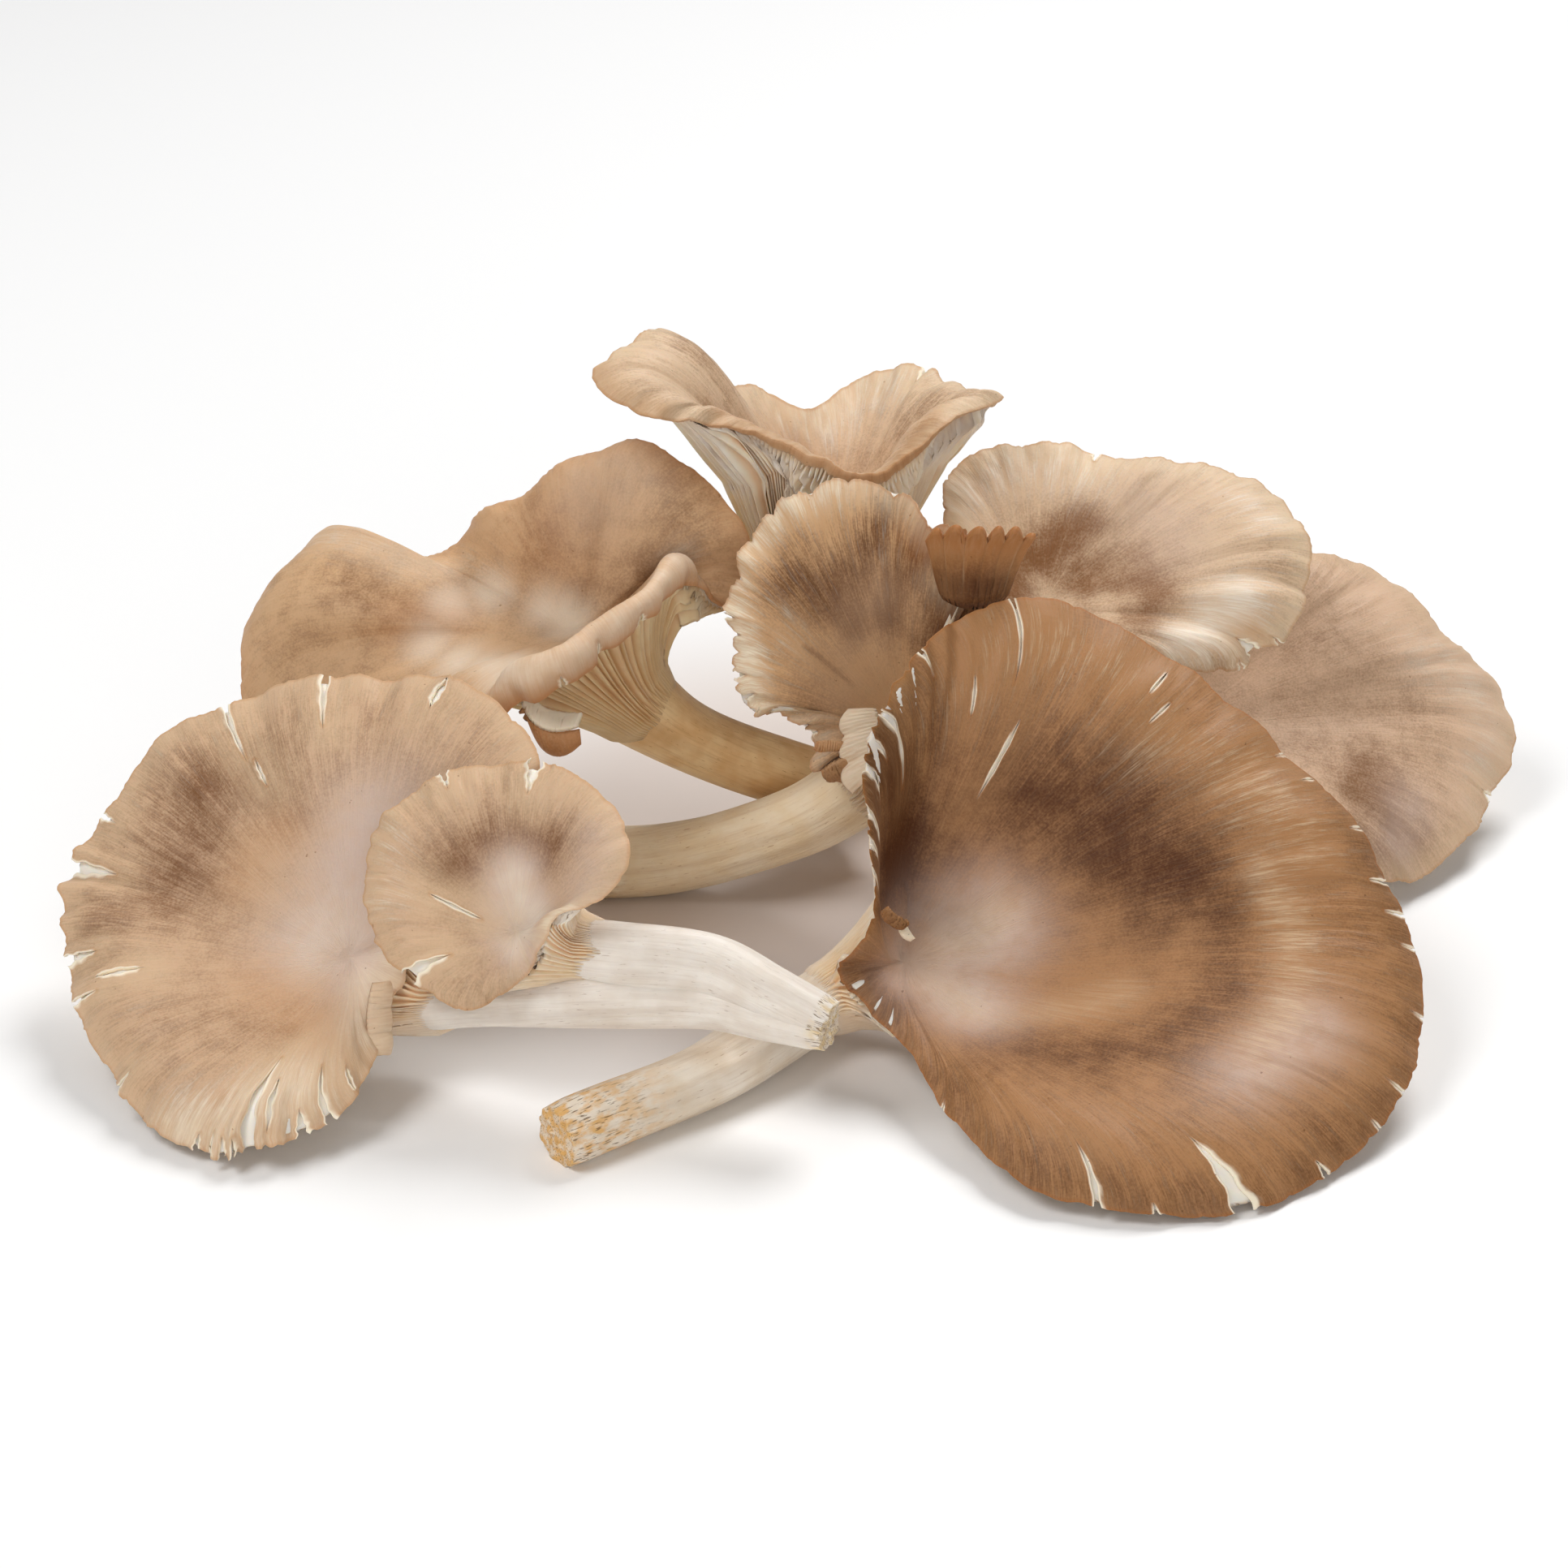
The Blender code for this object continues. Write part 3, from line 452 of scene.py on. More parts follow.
def hermite(start, end, start_slope, end_slope, way):
    """The cubic that leaves start along start_slope and reaches end along end_slope, at way from 0 to 1."""
    return (
        (2 * way**3 - 3 * way**2 + 1) * start
        + (way**3 - 2 * way**2 + way) * start_slope
        + (3 * way**2 - 2 * way**3) * end
        + (way**3 - way**2) * end_slope
    )


def along(knots, rows, slopes, at):
    """Rows read at the distances `at` on a cubic through every row."""
    index = np.clip(np.searchsorted(knots, at, side="right") - 1, 0, len(knots) - 2)
    span = (knots[index + 1] - knots[index])[:, None]
    way = (at - knots[index])[:, None] / span
    return hermite(rows[index], rows[index + 1], span * slopes[index], span * slopes[index + 1], way)


def ripple(s, t, count, lean, seed):
    """Soft uneven waves round a cap: the sum of eight sines of about `count` waves each, whose crests lean by
    up to `lean` waves on the way out."""
    dice = np.random.default_rng(seed)
    total = 0
    for _ in range(8):
        waves = max(1, round(count * dice.uniform(0.6, 1.5)))
        total = total + np.sin(TAU * (waves * s + lean * dice.uniform(-1, 1) * t + dice.uniform()))
    return total / 2


def scallops(s, count, seed):
    """Narrow notches between about `count` round lobes: 1 in a notch and 0 on a lobe."""
    return (1 - np.clip(np.abs(ripple(s, 0, count / 2, 0, seed)) / 1.3, 0, 1)) ** 3


def window(angle, start, end, soft):
    """1 between two angles in degrees, and 0 outside them, with soft ends."""
    middle, half = (start + end) / 2, (end - start) / 2
    away = np.abs(short_way(angle, middle))
    return 1 - smooth(half - soft, half + soft, away)


def cap_axes(facing):
    """Three axes of a cap: to its right, up its face, and straight out of it."""
    out = unit(facing)
    right = unit(np.array([1.0, 0.0, 0.0]) - out[0] * out)
    return right, np.cross(out, right), out


# Columns of a cap's table: the rim point across the face and out of it, the slope there, the fibre's
# directions at both ends and its pull, the reach, and how far the rim is rolled under
FLAT, LIFT, SLOPE, LEAVING, ARRIVING = slice(0, 2), slice(2, 3), slice(3, 4), slice(4, 6), slice(6, 8)
PULLED, REACH, ROLLED = slice(8, 9), 9, 10


class Cap:
    """The upper face of one cap, at s, the share of the way round, and t, the share of the way out."""

    def __init__(self, row):
        self.row = row
        self.joint = np.array(row["joint"], float)
        self.axes = cap_axes(row["facing"])
        rim = self.even_rim()
        flat, slope = rim[:, FLAT], rim[:, SLOPE]
        reach = np.linalg.norm(rim[:, :3], axis=1)[:, None]
        tangent = np.roll(flat, -TANGENT_REACH, axis=0) - np.roll(flat, TANGENT_REACH, axis=0)
        across = unit(np.stack([tangent[:, 1], -tangent[:, 0]], axis=1))
        bearing = np.unwrap(np.arctan2(flat[:, 1], flat[:, 0]))
        steady = np.arange(RIM_SAMPLES) / RIM_SAMPLES * TAU
        leaving = (1 - EVENNESS) * bearing + EVENNESS * (steady + (bearing - steady).mean())
        leaving = np.stack([np.cos(leaving), np.sin(leaving)], axis=1)
        arriving = unit(unit(flat) + SQUARENESS * across)
        rolled = np.clip((-slope - ROLL_START) / ROLL_SPAN, 0, 1)
        pull = (PULL + ROLL_PULL * rolled) * reach
        self.angles = np.degrees(bearing)
        self.table = np.hstack([rim[:, :3], np.radians(slope), leaving, arriving, pull, reach, rolled])

    def even_rim(self):
        """The rim and its slopes, at even steps of its length, on a closed cubic through the row's points."""
        angle, reach, lift, slope = np.array(self.row["rim"], float).T
        angle = np.radians(angle)
        rows = np.stack([reach * np.cos(angle), reach * np.sin(angle), lift, slope], axis=1)
        knots = distances(np.concatenate([rows, rows[:1]])[:, :3], RIM_KNOTS)
        total = knots[-1]
        laps = np.concatenate([knots[:-1] - total, knots[:-1], knots[:-1] + total, [2 * total]])
        rows = np.concatenate([rows, rows, rows, rows[:1]])
        slopes = np.gradient(rows, laps, axis=0)
        fine = np.linspace(0, total, 4 * RIM_SAMPLES + 1)
        walked = distances(along(laps, rows, slopes, fine)[:, :3])
        self.girth = walked[-1]
        even = np.interp(np.arange(RIM_SAMPLES) / RIM_SAMPLES * self.girth, walked, fine)
        return along(laps, rows, slopes, even)

    def read(self, s):
        """The table's row at s, between its two nearest samples."""
        place = (np.asarray(s, float) % 1.0) * RIM_SAMPLES
        low = np.floor(place).astype(int)
        way = (place - low)[..., None]
        return self.table[low % RIM_SAMPLES] * (1 - way) + self.table[(low + 1) % RIM_SAMPLES] * way

    def angle(self, s):
        """The angle round the joint, in degrees, of the rim point at s."""
        place = (np.asarray(s, float) % 1.0) * RIM_SAMPLES
        return np.interp(place, np.arange(RIM_SAMPLES + 1), np.append(self.angles, self.angles[0] + 360))

    def at_angle(self, angle):
        """The s whose rim point lies at an angle in degrees."""
        return np.argmin(np.abs(short_way(self.angles, angle))) / RIM_SAMPLES

    def reach(self, s):
        """How far the rim point at s lies from the joint."""
        return self.read(s)[..., REACH]

    def bent(self, s, t):
        """The fibre that leaves the rim at s, followed inwards: most flows bend it halfway."""
        turn, angle = 0 * (s + t), self.angle(s)
        for middle, spread, degrees in self.row.get("flow", ()):
            away = short_way(angle, middle)
            turn = turn + degrees / 360 * np.exp(-((away / spread) ** 2)) * t * (1 - t)
        return s + turn

    def plain(self, s, t):
        """A cubic from the joint to the rim point at s: it leaves at the bowl angle and arrives at the rim's
        own slope, which rolls the edge under where it is steep."""
        row, way = self.read(s), np.asarray(t, float)[..., None]
        bowl, slope, pull = math.radians(self.row["bowl"]), row[..., SLOPE], row[..., PULLED]
        leaving, arriving = row[..., LEAVING], row[..., ARRIVING]
        out = hermite(
            0, row[..., FLAT], pull * math.cos(bowl) * leaving, pull * np.cos(slope) * arriving, way)
        height = hermite(0, row[..., LIFT], pull * math.sin(bowl), pull * np.sin(slope), way)
        right, up, facing = self.axes
        return self.joint + out[..., :1] * right + out[..., 1:] * up + height * facing

    def around(self, shape, s, t):
        """The direction round the cap on a surface, across a small step."""
        return unit(shape(s + SMALL_STEP, t) - shape(s - SMALL_STEP, t))

    def normal_of(self, shape, s, t):
        """The outward normal of a surface, square to its small steps round and out, and leant a little the way
        the cap faces, so that a tight fold keeps a sound one."""
        outward = unit(shape(s, t + SMALL_STEP) - shape(s, t - SMALL_STEP))
        return unit(np.cross(outward, self.around(shape, s, t)) + 0.15 * self.axes[2])

    def relief(self, s, t):
        """Height of the waves and pleats over the plain face, growing towards the rim."""
        height = 0 * s
        for high, count, lean, start, seed in self.row["waves"]:
            height = height + high * smooth(start, 1.05, t) * ripple(s, t, count, lean, seed)
        angle = self.angle(s)
        for first, last, high, width, start, seed in self.row.get("pleats", ()):
            inside = window(angle, first, last, 3) * smooth(start, 1.05, t)
            height = height + high * inside * ripple(s, t, self.girth / width, 0.5, seed)
        for first, last, high, share, spread in self.row.get("swells", ()):
            height = height + high * window(angle, first, last, 8) * np.exp(-(((t - share) / spread) ** 2))
        return height

    def face(self, s, t):
        """The cap's upper face with its waves."""
        return self.plain(s, t) + self.relief(s, t)[..., None] * self.normal_of(self.plain, s, t)


class Stem:
    """A stem's surface, at an angle round it and a distance down it from under the cap."""

    def __init__(self, cap):
        path = np.array(cap.row["stem"], float)
        knots = distances(path[:, :3], PATH_KNOTS)
        even = np.linspace(0, knots[-1], PATH_SAMPLES)
        self.rows = along(knots, path, np.gradient(path, knots, axis=0), even)
        self.walked = distances(self.rows[:, :3])
        self.length = self.walked[-1]
        headings = unit(np.gradient(self.rows[:, :3], self.walked, axis=0))
        first, second, facing = cap.axes
        heading, sides = -facing, []
        for direction in headings:
            first, second = (turned(side, heading, direction) for side in (first, second))
            heading = direction
            sides.append((first, second, direction))
        self.sides = np.array(sides)

    def read(self, values, distance):
        """The rows of an array on the path, read at distances; past either end the last row holds."""
        place = np.interp(distance, self.walked, np.arange(len(self.walked)))
        low = np.minimum(place.astype(int), len(self.walked) - 2)
        way = (place - low).reshape(place.shape + (1,) * (values.ndim - 1))
        return values[low] * (1 - way) + values[low + 1] * way

    def at(self, theta, distance, swell=0.0):
        """The centre line carried out by the radius and a swell, towards the angle theta."""
        row, side = self.read(self.rows, distance), self.read(self.sides, distance)
        across = np.cos(theta)[..., None] * side[..., 0, :] + np.sin(theta)[..., None] * side[..., 1, :]
        past = np.maximum(distance - self.length, 0)[..., None] * side[..., 2, :]
        return row[..., :3] + past + (row[..., 3] + swell)[..., None] * across


def turned(vectors, before, after):
    """The vectors carried by the smallest turn that takes the direction `before` to `after`."""
    axis, cosine = np.cross(before, after), float(before @ after)
    return vectors + np.cross(axis, vectors) + np.cross(axis, np.cross(axis, vectors)) / (1 + cosine)


def grid_faces(ids):
    """Quads between neighbouring rows and columns of a grid of point numbers."""
    return np.stack([ids[:-1, :-1], ids[1:, :-1], ids[1:, 1:], ids[:-1, 1:]], axis=-1).reshape(-1, 4)


def fan_faces(centre, ring):
    """Triangles from one point to the sides of a ring; the fourth corner repeats the third."""
    return np.stack([np.full(len(ring) - 1, centre), ring[:-1], ring[1:], ring[1:]], axis=1)


def make_piece(name, points, faces, values, material, stands_for):
    """A piece from arrays: points in millimetres, faces of four corners, and named values at the points.

    A corner that repeats its neighbour is dropped, so the face becomes a triangle, and unused points go too.
    """
    keep = faces != np.roll(faces, 1, axis=1)
    faces, keep = faces[keep.sum(axis=1) > 2], keep[keep.sum(axis=1) > 2]
    used, corners = np.unique(faces[keep], return_inverse=True)
    sizes = keep.sum(axis=1)
    points = (points + TO_ORIGIN)[used]
    points[:, 2] = np.maximum(points[:, 2], 0)
    mesh = bpy.data.meshes.new(name)
    mesh.vertices.add(len(points))
    mesh.vertices.foreach_set("co", (points * MM).astype(np.float32).ravel())
    mesh.loops.add(len(corners))
    mesh.loops.foreach_set("vertex_index", corners.astype(np.int32).ravel())
    mesh.polygons.add(len(sizes))
    mesh.polygons.foreach_set("loop_start", (np.cumsum(sizes) - sizes).astype(np.int32))
    mesh.polygons.foreach_set("use_smooth", np.ones(len(sizes), bool))
    for label, value in values.items():
        value = np.asarray(value, np.float32)[used]
        kind = "FLOAT_VECTOR" if value.ndim == 2 else "FLOAT"
        layer = mesh.attributes.new(label, kind, "POINT")
        layer.data.foreach_set("vector" if value.ndim == 2 else "value", value.ravel())
    mesh.update(calc_edges=True)
    mesh.validate()
    mesh.materials.append(material)
    obj = bpy.data.objects.new(name, mesh)
    bpy.context.scene.collection.objects.link(obj)
    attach(obj, "root")
    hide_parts(*stands_for)
    return obj


def nearest(points, line):
    """The distance from each point to the nearest point of a line."""
    away = np.full(points.shape[:-1], 1e9)
    for spot in line:
        away = np.minimum(away, np.linalg.norm(points - spot, axis=-1))
    return away


TINTS = ("dark", "pale", "rose", "ochre")


def tints(cap, points):
    """The strength of each tint at the points: soft strokes laid along lines on the cap."""
    found = {tint: np.zeros(points.shape[:-1]) for tint in TINTS}
    for tint, strength, radius, marks in cap.row["paint"]:
        angles, shares = np.array(marks, float).T
        spots = np.linspace(0, len(marks) - 1, 1 + 10 * (len(marks) - 1))
        index = np.arange(len(marks))
        angles = np.interp(spots, index, np.unwrap(angles, period=360))
        around = np.array([cap.at_angle(angle) for angle in angles])
        line = cap.face(around, np.interp(spots, index, shares))
        weight = strength * np.exp(-((nearest(points, line) / radius) ** 2))
        found[tint] = np.maximum(found[tint], weight)
    return found


SKIN_START = 0.03  # the share of the way out of the skin's first ring
SKIN_BRIM = -0.35  # how much thicker a skin is at the rim, as a share, unless its cap says
BRIM_SPAN = (0.84, 0.93)  # shares of the way out between which that comes in
EDGE_ROUND = 0.6  # width of an edge's round, in thicknesses
SHORT_START, MOST_SHORT = 0.55, 0.25  # where an uneven rim starts to pull on the skin, and how far at the most
FIBRES = ((150, 3, 5), (60, 6, 6))  # how many round the rim, lean, seed
FIBRE_SPAN = (0.35, 0.95)  # shares of the way out between which the fibres rise
UNDER_START = 0.86  # the lower side keeps every ring from here or from the innermost slit to the rim
RIM_GAPS = (0.10, 0.08, 0.06, 0.043, 0.03, 0.02, 0.012, 0.006, 0.002, 0.0)  # last rings, before the rim
SLIT_STEPS = (-1.1, -0.5, -0.18, 0.18, 0.5, 1.1)  # columns beside a slit, in millimetres
SLIT_ROOM = 1.4  # even columns nearer than this to a slit are left out, in millimetres


def skin_columns(cap, slits):
    """Column places round the cap, with close ones beside each slit and the slit's own column twice."""
    s = np.arange(cap.row["columns"]) / cap.row["columns"]
    side = np.zeros(len(s))
    for middle, _, _, _ in slits:
        keep = (np.abs(short_way(s, middle, 1)) * cap.girth > SLIT_ROOM) | (side != 0)
        extra = middle + np.array(SLIT_STEPS + (0.0, 0.0)) / cap.girth
        s = np.concatenate([s[keep], extra])
        side = np.concatenate([side[keep], np.zeros(len(SLIT_STEPS)), [-1.0, 1.0]])
    order = np.lexsort((side, s))
    return s[order], side[order]


def rim_shortfall(cap, s):
    """How far the rim stays inside its outline: soft waves, narrow notches between lobes, and torn teeth."""
    deep, count = cap.row["margin"]
    short = deep * (0.4 * ripple(s, 0, count / 2, 0, 11) + 0.12 * ripple(s, 0, 5 * count, 0, 13) + 0.5)
    short = short + 1.6 * deep * scallops(s, count, 12)
    for first, last, depth, width, seed in cap.row.get("torn", ()):
        short = short + depth * window(cap.angle(s), first, last, 2) * scallops(s, cap.girth / width, seed)
    return short


def open_slits(cap, slits, s, side, t, points, around):
    """Spreads the points apart beside each slit, and gives the distance of each from the nearest edge, how
    white the bare flesh shows there, and which points lie on an open slit.

    A slit that ends at the rim widens all the way to it, and any other is widest halfway.
    """
    edge = (1 - t) * cap.reach(s)
    white, opened = np.zeros(t.shape), np.zeros(t.shape, bool)
    for middle, start, end, width in slits:
        off = short_way(s, middle, 1) * cap.girth
        on_it = (np.abs(off) < 1e-6) & (side != 0)
        hand = np.where(on_it, side, np.sign(off))
        way = np.clip((t - start) / (min(end, 1.0) - start), 0, 1)
        spread = width / 2 * (way**0.9 if end > 1 else np.sin(np.pi * way) ** 0.7)
        spread = spread * (1 + 0.25 * np.sin(17 * way + 40 * middle))
        push = hand * spread * np.exp(-np.abs(off) / (2.5 * width + 1))
        points = points + push[..., None] * around
        across = np.hypot(off * t, np.maximum(np.maximum(start - t, t - end), 0) * cap.reach(s))
        edge = np.minimum(edge, across)
        lip = 0.15 + 0.45 * spread * (1 + 0.7 * hand)
        bare = smooth(0.0, 0.2, spread) * (1 - smooth(0.6 * lip, 1.1 * lip + 0.1, across))
        white = np.maximum(white, bare)
        opened |= (t > start) & (t < end) & on_it
    return points, edge, white, opened


def skin_faces(side, opened, low_rows):
    """The faces of a skin: a fine grid above, one of fewer rows below, and a fan at the inner end of each. They
    share their points at the rim and on open slits, and where a slit is closed its two columns are one."""
    rows, columns = opened.shape
    top = np.arange(rows * columns).reshape(rows, columns)
    bottom = top.size + np.arange(len(low_rows) * columns).reshape(-1, columns)
    total = top.size + bottom.size
    shared = opened | (np.arange(rows) == rows - 1)[:, None]
    bottom = np.where(shared[low_rows], top[low_rows], bottom)
    crack = (side[:-1] < 0) & (side[1:] > 0)
    for left in np.where(crack)[0]:
        closed = ~opened[:, left]
        top[closed, left + 1] = top[closed, left]
        bottom[closed[low_rows], left + 1] = bottom[closed[low_rows], left]
    top, bottom = (np.hstack([ids, ids[:, :1]]) for ids in (top, bottom))
    whole = np.append(~crack, True)
    upper = grid_faces(top).reshape(rows - 1, columns, 4)[:, whole]
    lower = grid_faces(bottom[:, ::-1]).reshape(len(low_rows) - 1, columns, 4)[:, whole[::-1]]
    fans = [fan_faces(total, top[0]), fan_faces(total + 1, bottom[0, ::-1])]
    return np.concatenate([upper.reshape(-1, 4), lower.reshape(-1, 4), *fans])


def skin(name, cap, look, settings):
    """A cap's skin: a closed sheet on the cap's face, thin and round at the rim and along its slits.

    Upper point = face(s, t) + fine fibres along the normal, spread apart beside a slit. Lower point = upper
    point less the thickness along the normal, which falls to nothing at an edge as a quarter ellipse does.
    """
    slits = [(cap.at_angle(angle), *rest) for angle, *rest in cap.row["slits"]]
    s, side = skin_columns(cap, slits)
    outer = 1 - np.array(RIM_GAPS)
    t = np.concatenate([np.linspace(SKIN_START, outer[0], cap.row["rings"], endpoint=False), outer])
    s_grid, t_grid = np.meshgrid(s, t)
    reach = cap.reach(s)
    short = np.clip(rim_shortfall(cap, s) / reach, 0, MOST_SHORT)
    t_face = t_grid * (1 - smooth(SHORT_START, 1, t_grid) * short)
    s_face = cap.bent(s_grid, t_face)
    points, normals = cap.face(s_face, t_face), cap.normal_of(cap.face, s_face, t_face)
    fine = sum(0.05 * ripple(s_grid, t_face, count, lean, seed) for count, lean, seed in FIBRES)
    fine = fine * smooth(*FIBRE_SPAN, t_face) * flesh_share(cap, s_grid, t_face)
    points = points + (settings.wrinkle * 1000 * fine)[..., None] * normals
    around = cap.around(cap.face, s_face, t_face)
    points, edge, white, opened = open_slits(cap, slits, s, side, t_grid, points, around)

    brim = 1 + cap.row.get("brim", SKIN_BRIM) * smooth(*BRIM_SPAN, t_grid)
    thick = look["thickness"] * brim * flesh_share(cap, s_grid, t_grid)
    sunk = thick * np.sqrt(1 - (1 - np.clip(edge / (EDGE_ROUND * thick), 0, 1)) ** 2)
    lowest = min([UNDER_START] + [start - 0.05 for _, start, _, _ in slits])
    low_rows = np.unique(np.concatenate([[0, len(t) // 4, len(t) // 2], np.where(t > lowest)[0]]))
    under = (points - sunk[..., None] * normals)[low_rows]

    def at_all(value):
        """Values of the grid, for the upper and the lower points and both centres."""
        grids = [part.reshape((-1,) + value.shape[2:]) for part in (value, value[low_rows])]
        return np.concatenate([*grids, value[:1, 0], value[:1, 0]])

    stretch, turn = cap.girth / TAU, TAU * s_grid
    fibre = np.stack([stretch * np.cos(turn), stretch * np.sin(turn), t_grid * reach], axis=-1)
    values = {"fibre": fibre, "share": t_grid, "edge": edge, "white": white}
    values = {label: at_all(value) for label, value in (tints(cap, points) | values).items()}
    centres = np.array([points[0].mean(axis=0), under[0].mean(axis=0)])
    flat = np.concatenate([points.reshape(-1, 3), under.reshape(-1, 3), centres])
    faces = skin_faces(side, opened, low_rows)
    return make_piece("skin_" + name, flat, faces, values, look["material"], ["cap_" + name])


FULL_REACH = 22  # a rim nearer to the joint than this has thinner flesh


def flesh_share(cap, s, t):
    """How much of its full thickness the flesh keeps: less where the rim is near the joint or rolled under."""
    wide, rolled = np.clip(cap.reach(s) / FULL_REACH, 0.25, 1), cap.read(s)[..., ROLLED]
    share = np.clip(wide * (1 - 0.8 * rolled * t) + 0.3, 0, 1)
    for first, last, kept in cap.row.get("thin", ()):
        share = share * (1 - (1 - kept) * window(cap.angle(s), first, last, 8))
    return share


FLAP_THICKNESS = 0.9


def flap(name, row, look, columns=90, rings=22):
    """A torn or curled piece of cap: a closed sheet with a fluted rim.

    Point = root(u), a parabola through three points, spread sideways by the flare and carried along an arc that
    starts along `rise` and turns towards `over`, with round lobes at the rim. The lower side is sunk by the
    thickness, which is nothing at the borders.
    """
    u, v = np.meshgrid(np.linspace(0, 1, columns), np.linspace(0, 1, rings) ** 0.8)
    first, middle, last = (np.array(point, float) for point in row["root"])
    weigh = [(1 - u) * (1 - 2 * u), 4 * u * (1 - u), u * (2 * u - 1)]
    root = sum(part[..., None] * point for part, point in zip(weigh, (first, middle, last)))
    length, curl = np.linalg.norm(row["rise"]), math.radians(row["curl"])
    lobes = (np.sin(np.pi * row["lobes"] * (u + 0.02 * np.sin(9 * u))) ** 2 + 0.004) ** 0.3
    long = length * (1 - 0.3 * np.abs(2 * u - 1) ** 3) * (0.84 + 0.16 * lobes)
    rise, over = unit(row["rise"]), unit(row["over"])
    points = middle + (root - middle) * (1 + row["flare"] * v)[..., None]
    points = points + (long * np.sin(curl * v) / curl)[..., None] * rise
    points = points + (long * (1 - np.cos(curl * v)) / curl)[..., None] * over
    fluted = row["flute"] * (lobes - 0.5) * smooth(0, 0.9, v) + 0.03 * ripple(u, v, 14, 1, len(name))
    points = points - fluted[..., None] * over
    normals = unit(np.cross(np.gradient(points, axis=0), np.gradient(points, axis=1)))
    width = np.linalg.norm(last - first)
    edge = np.minimum(np.minimum(u, 1 - u) * width, (1 - v) * length)
    border = np.minimum(edge, v * length)
    sunk = FLAP_THICKNESS * np.sqrt(1 - (1 - np.clip(border / 0.5, 0, 1)) ** 2)
    top = np.arange(u.size).reshape(u.shape)
    bottom = np.where(border > 1e-6, top + u.size, top)
    values = {"share": v, "edge": edge + 0.3}
    for tint in (*TINTS, "white"):
        at_root, at_rim = row.get(tint, (0, 0))
        values[tint] = at_root + (at_rim - at_root) * smooth(0.2, 1.0, v)
    pale_crease = row.get("creases", 0) * (1 - smooth(0.3, 0.8, lobes)) * smooth(0.1, 0.6, v)
    values["pale"] = np.maximum(values["pale"], pale_crease)
    values = {label: np.tile(value.ravel(), 2) for label, value in values.items()}
    values["fibre"] = np.tile(np.stack([u * width, 0 * u, v * length], axis=-1).reshape(-1, 3), (2, 1))
    points = np.concatenate([points.reshape(-1, 3), (points - sunk[..., None] * normals).reshape(-1, 3)])
    faces = np.concatenate([grid_faces(top), grid_faces(bottom[:, ::-1])])
    stands_for = ["cap_" + row["cap"]]
    return make_piece("flap_" + name, points, faces, values, look["material"], stands_for)


GILL_CORNERS = (0.10, 0.38, 0.62, 0.90)  # a gill's foot, both sides of its edge, and its foot, in its own width
GILL_FADES = (-1.0, 0.60, -1.0, 0.66, -1.0, 0.56, -1.0, 0.64)  # how far in each of eight gills starts to fade
GILL_WAYS = (1.0, 0.985, 0.96, 0.92, 0.86, 0.79, 0.71, 0.62, 0.53, 0.44, 0.35, 0.27, 0.19, 0.12, 0.06, 0.0)
GILL_PROFILE = ((0, 0.15, 0.5, 0.8, 0.95, 1.0), (0.7, 0.9, 1.0, 0.8, 0.45, 0.15))  # ways out, and heights there
NECK_WAYS = (0.0, 0.12, 0.25, 0.4, 0.55, 0.7, 0.85, 1.0)
FLESH_LEAST, FLESH_OUT, FLESH_IN = 0.2, 1.1, 2.2  # over the gills: always, all the way out, and more inwards
GILL_TURN = 1.9  # how far out the gills turn down into the neck, in stem radii
NECK_BLADE = 0.8  # height at which the blades end on the stem's side
LID_GROUP = 8  # points of the rim to each column of the hidden upper face
LID_SHARES = (
    0.99, 0.97, 0.95, 0.93, 0.91, 0.89, 0.865, 0.84, 0.81, 0.78, 0.74, 0.7, 0.65, 0.6, 0.53, 0.46, 0.39, 0.32,
    0.25, 0.18, 0.12, 0.06,
)  # rings of that face, in shares of the way out to the gills' rim


def gill_columns(cap, sway, dice):
    """The places round the cap of the gills' columns, four to a gill, and how much of each gill there is, ring
    by ring from the rim inwards. Four of every eight gills fade, and the others take the room they leave."""
    count, ways = cap.row["gills"], np.array(GILL_WAYS)[:, None]
    fade = np.tile(GILL_FADES, count // 8) + dice.uniform(-0.07, 0.07, count)
    alive = smooth(0, 1, (ways - fade) / 0.25 + 0.3)
    room = (0.02 + alive).reshape(len(ways), -1, 8)
    room = room / room.sum(axis=2, keepdims=True) * 8 / count
    start = (np.cumsum(room, axis=2) - room) + (np.arange(count // 8) * 8 / count)[:, None]
    start, room = (part.reshape(len(ways), count, 1) for part in (start, room))
    s = (start + room * np.array(GILL_CORNERS)).reshape(len(ways), -1)
    return s + sway * ripple(s, ways, count / 6, 2, 21) * smooth(1.0, 0.7, ways), alive


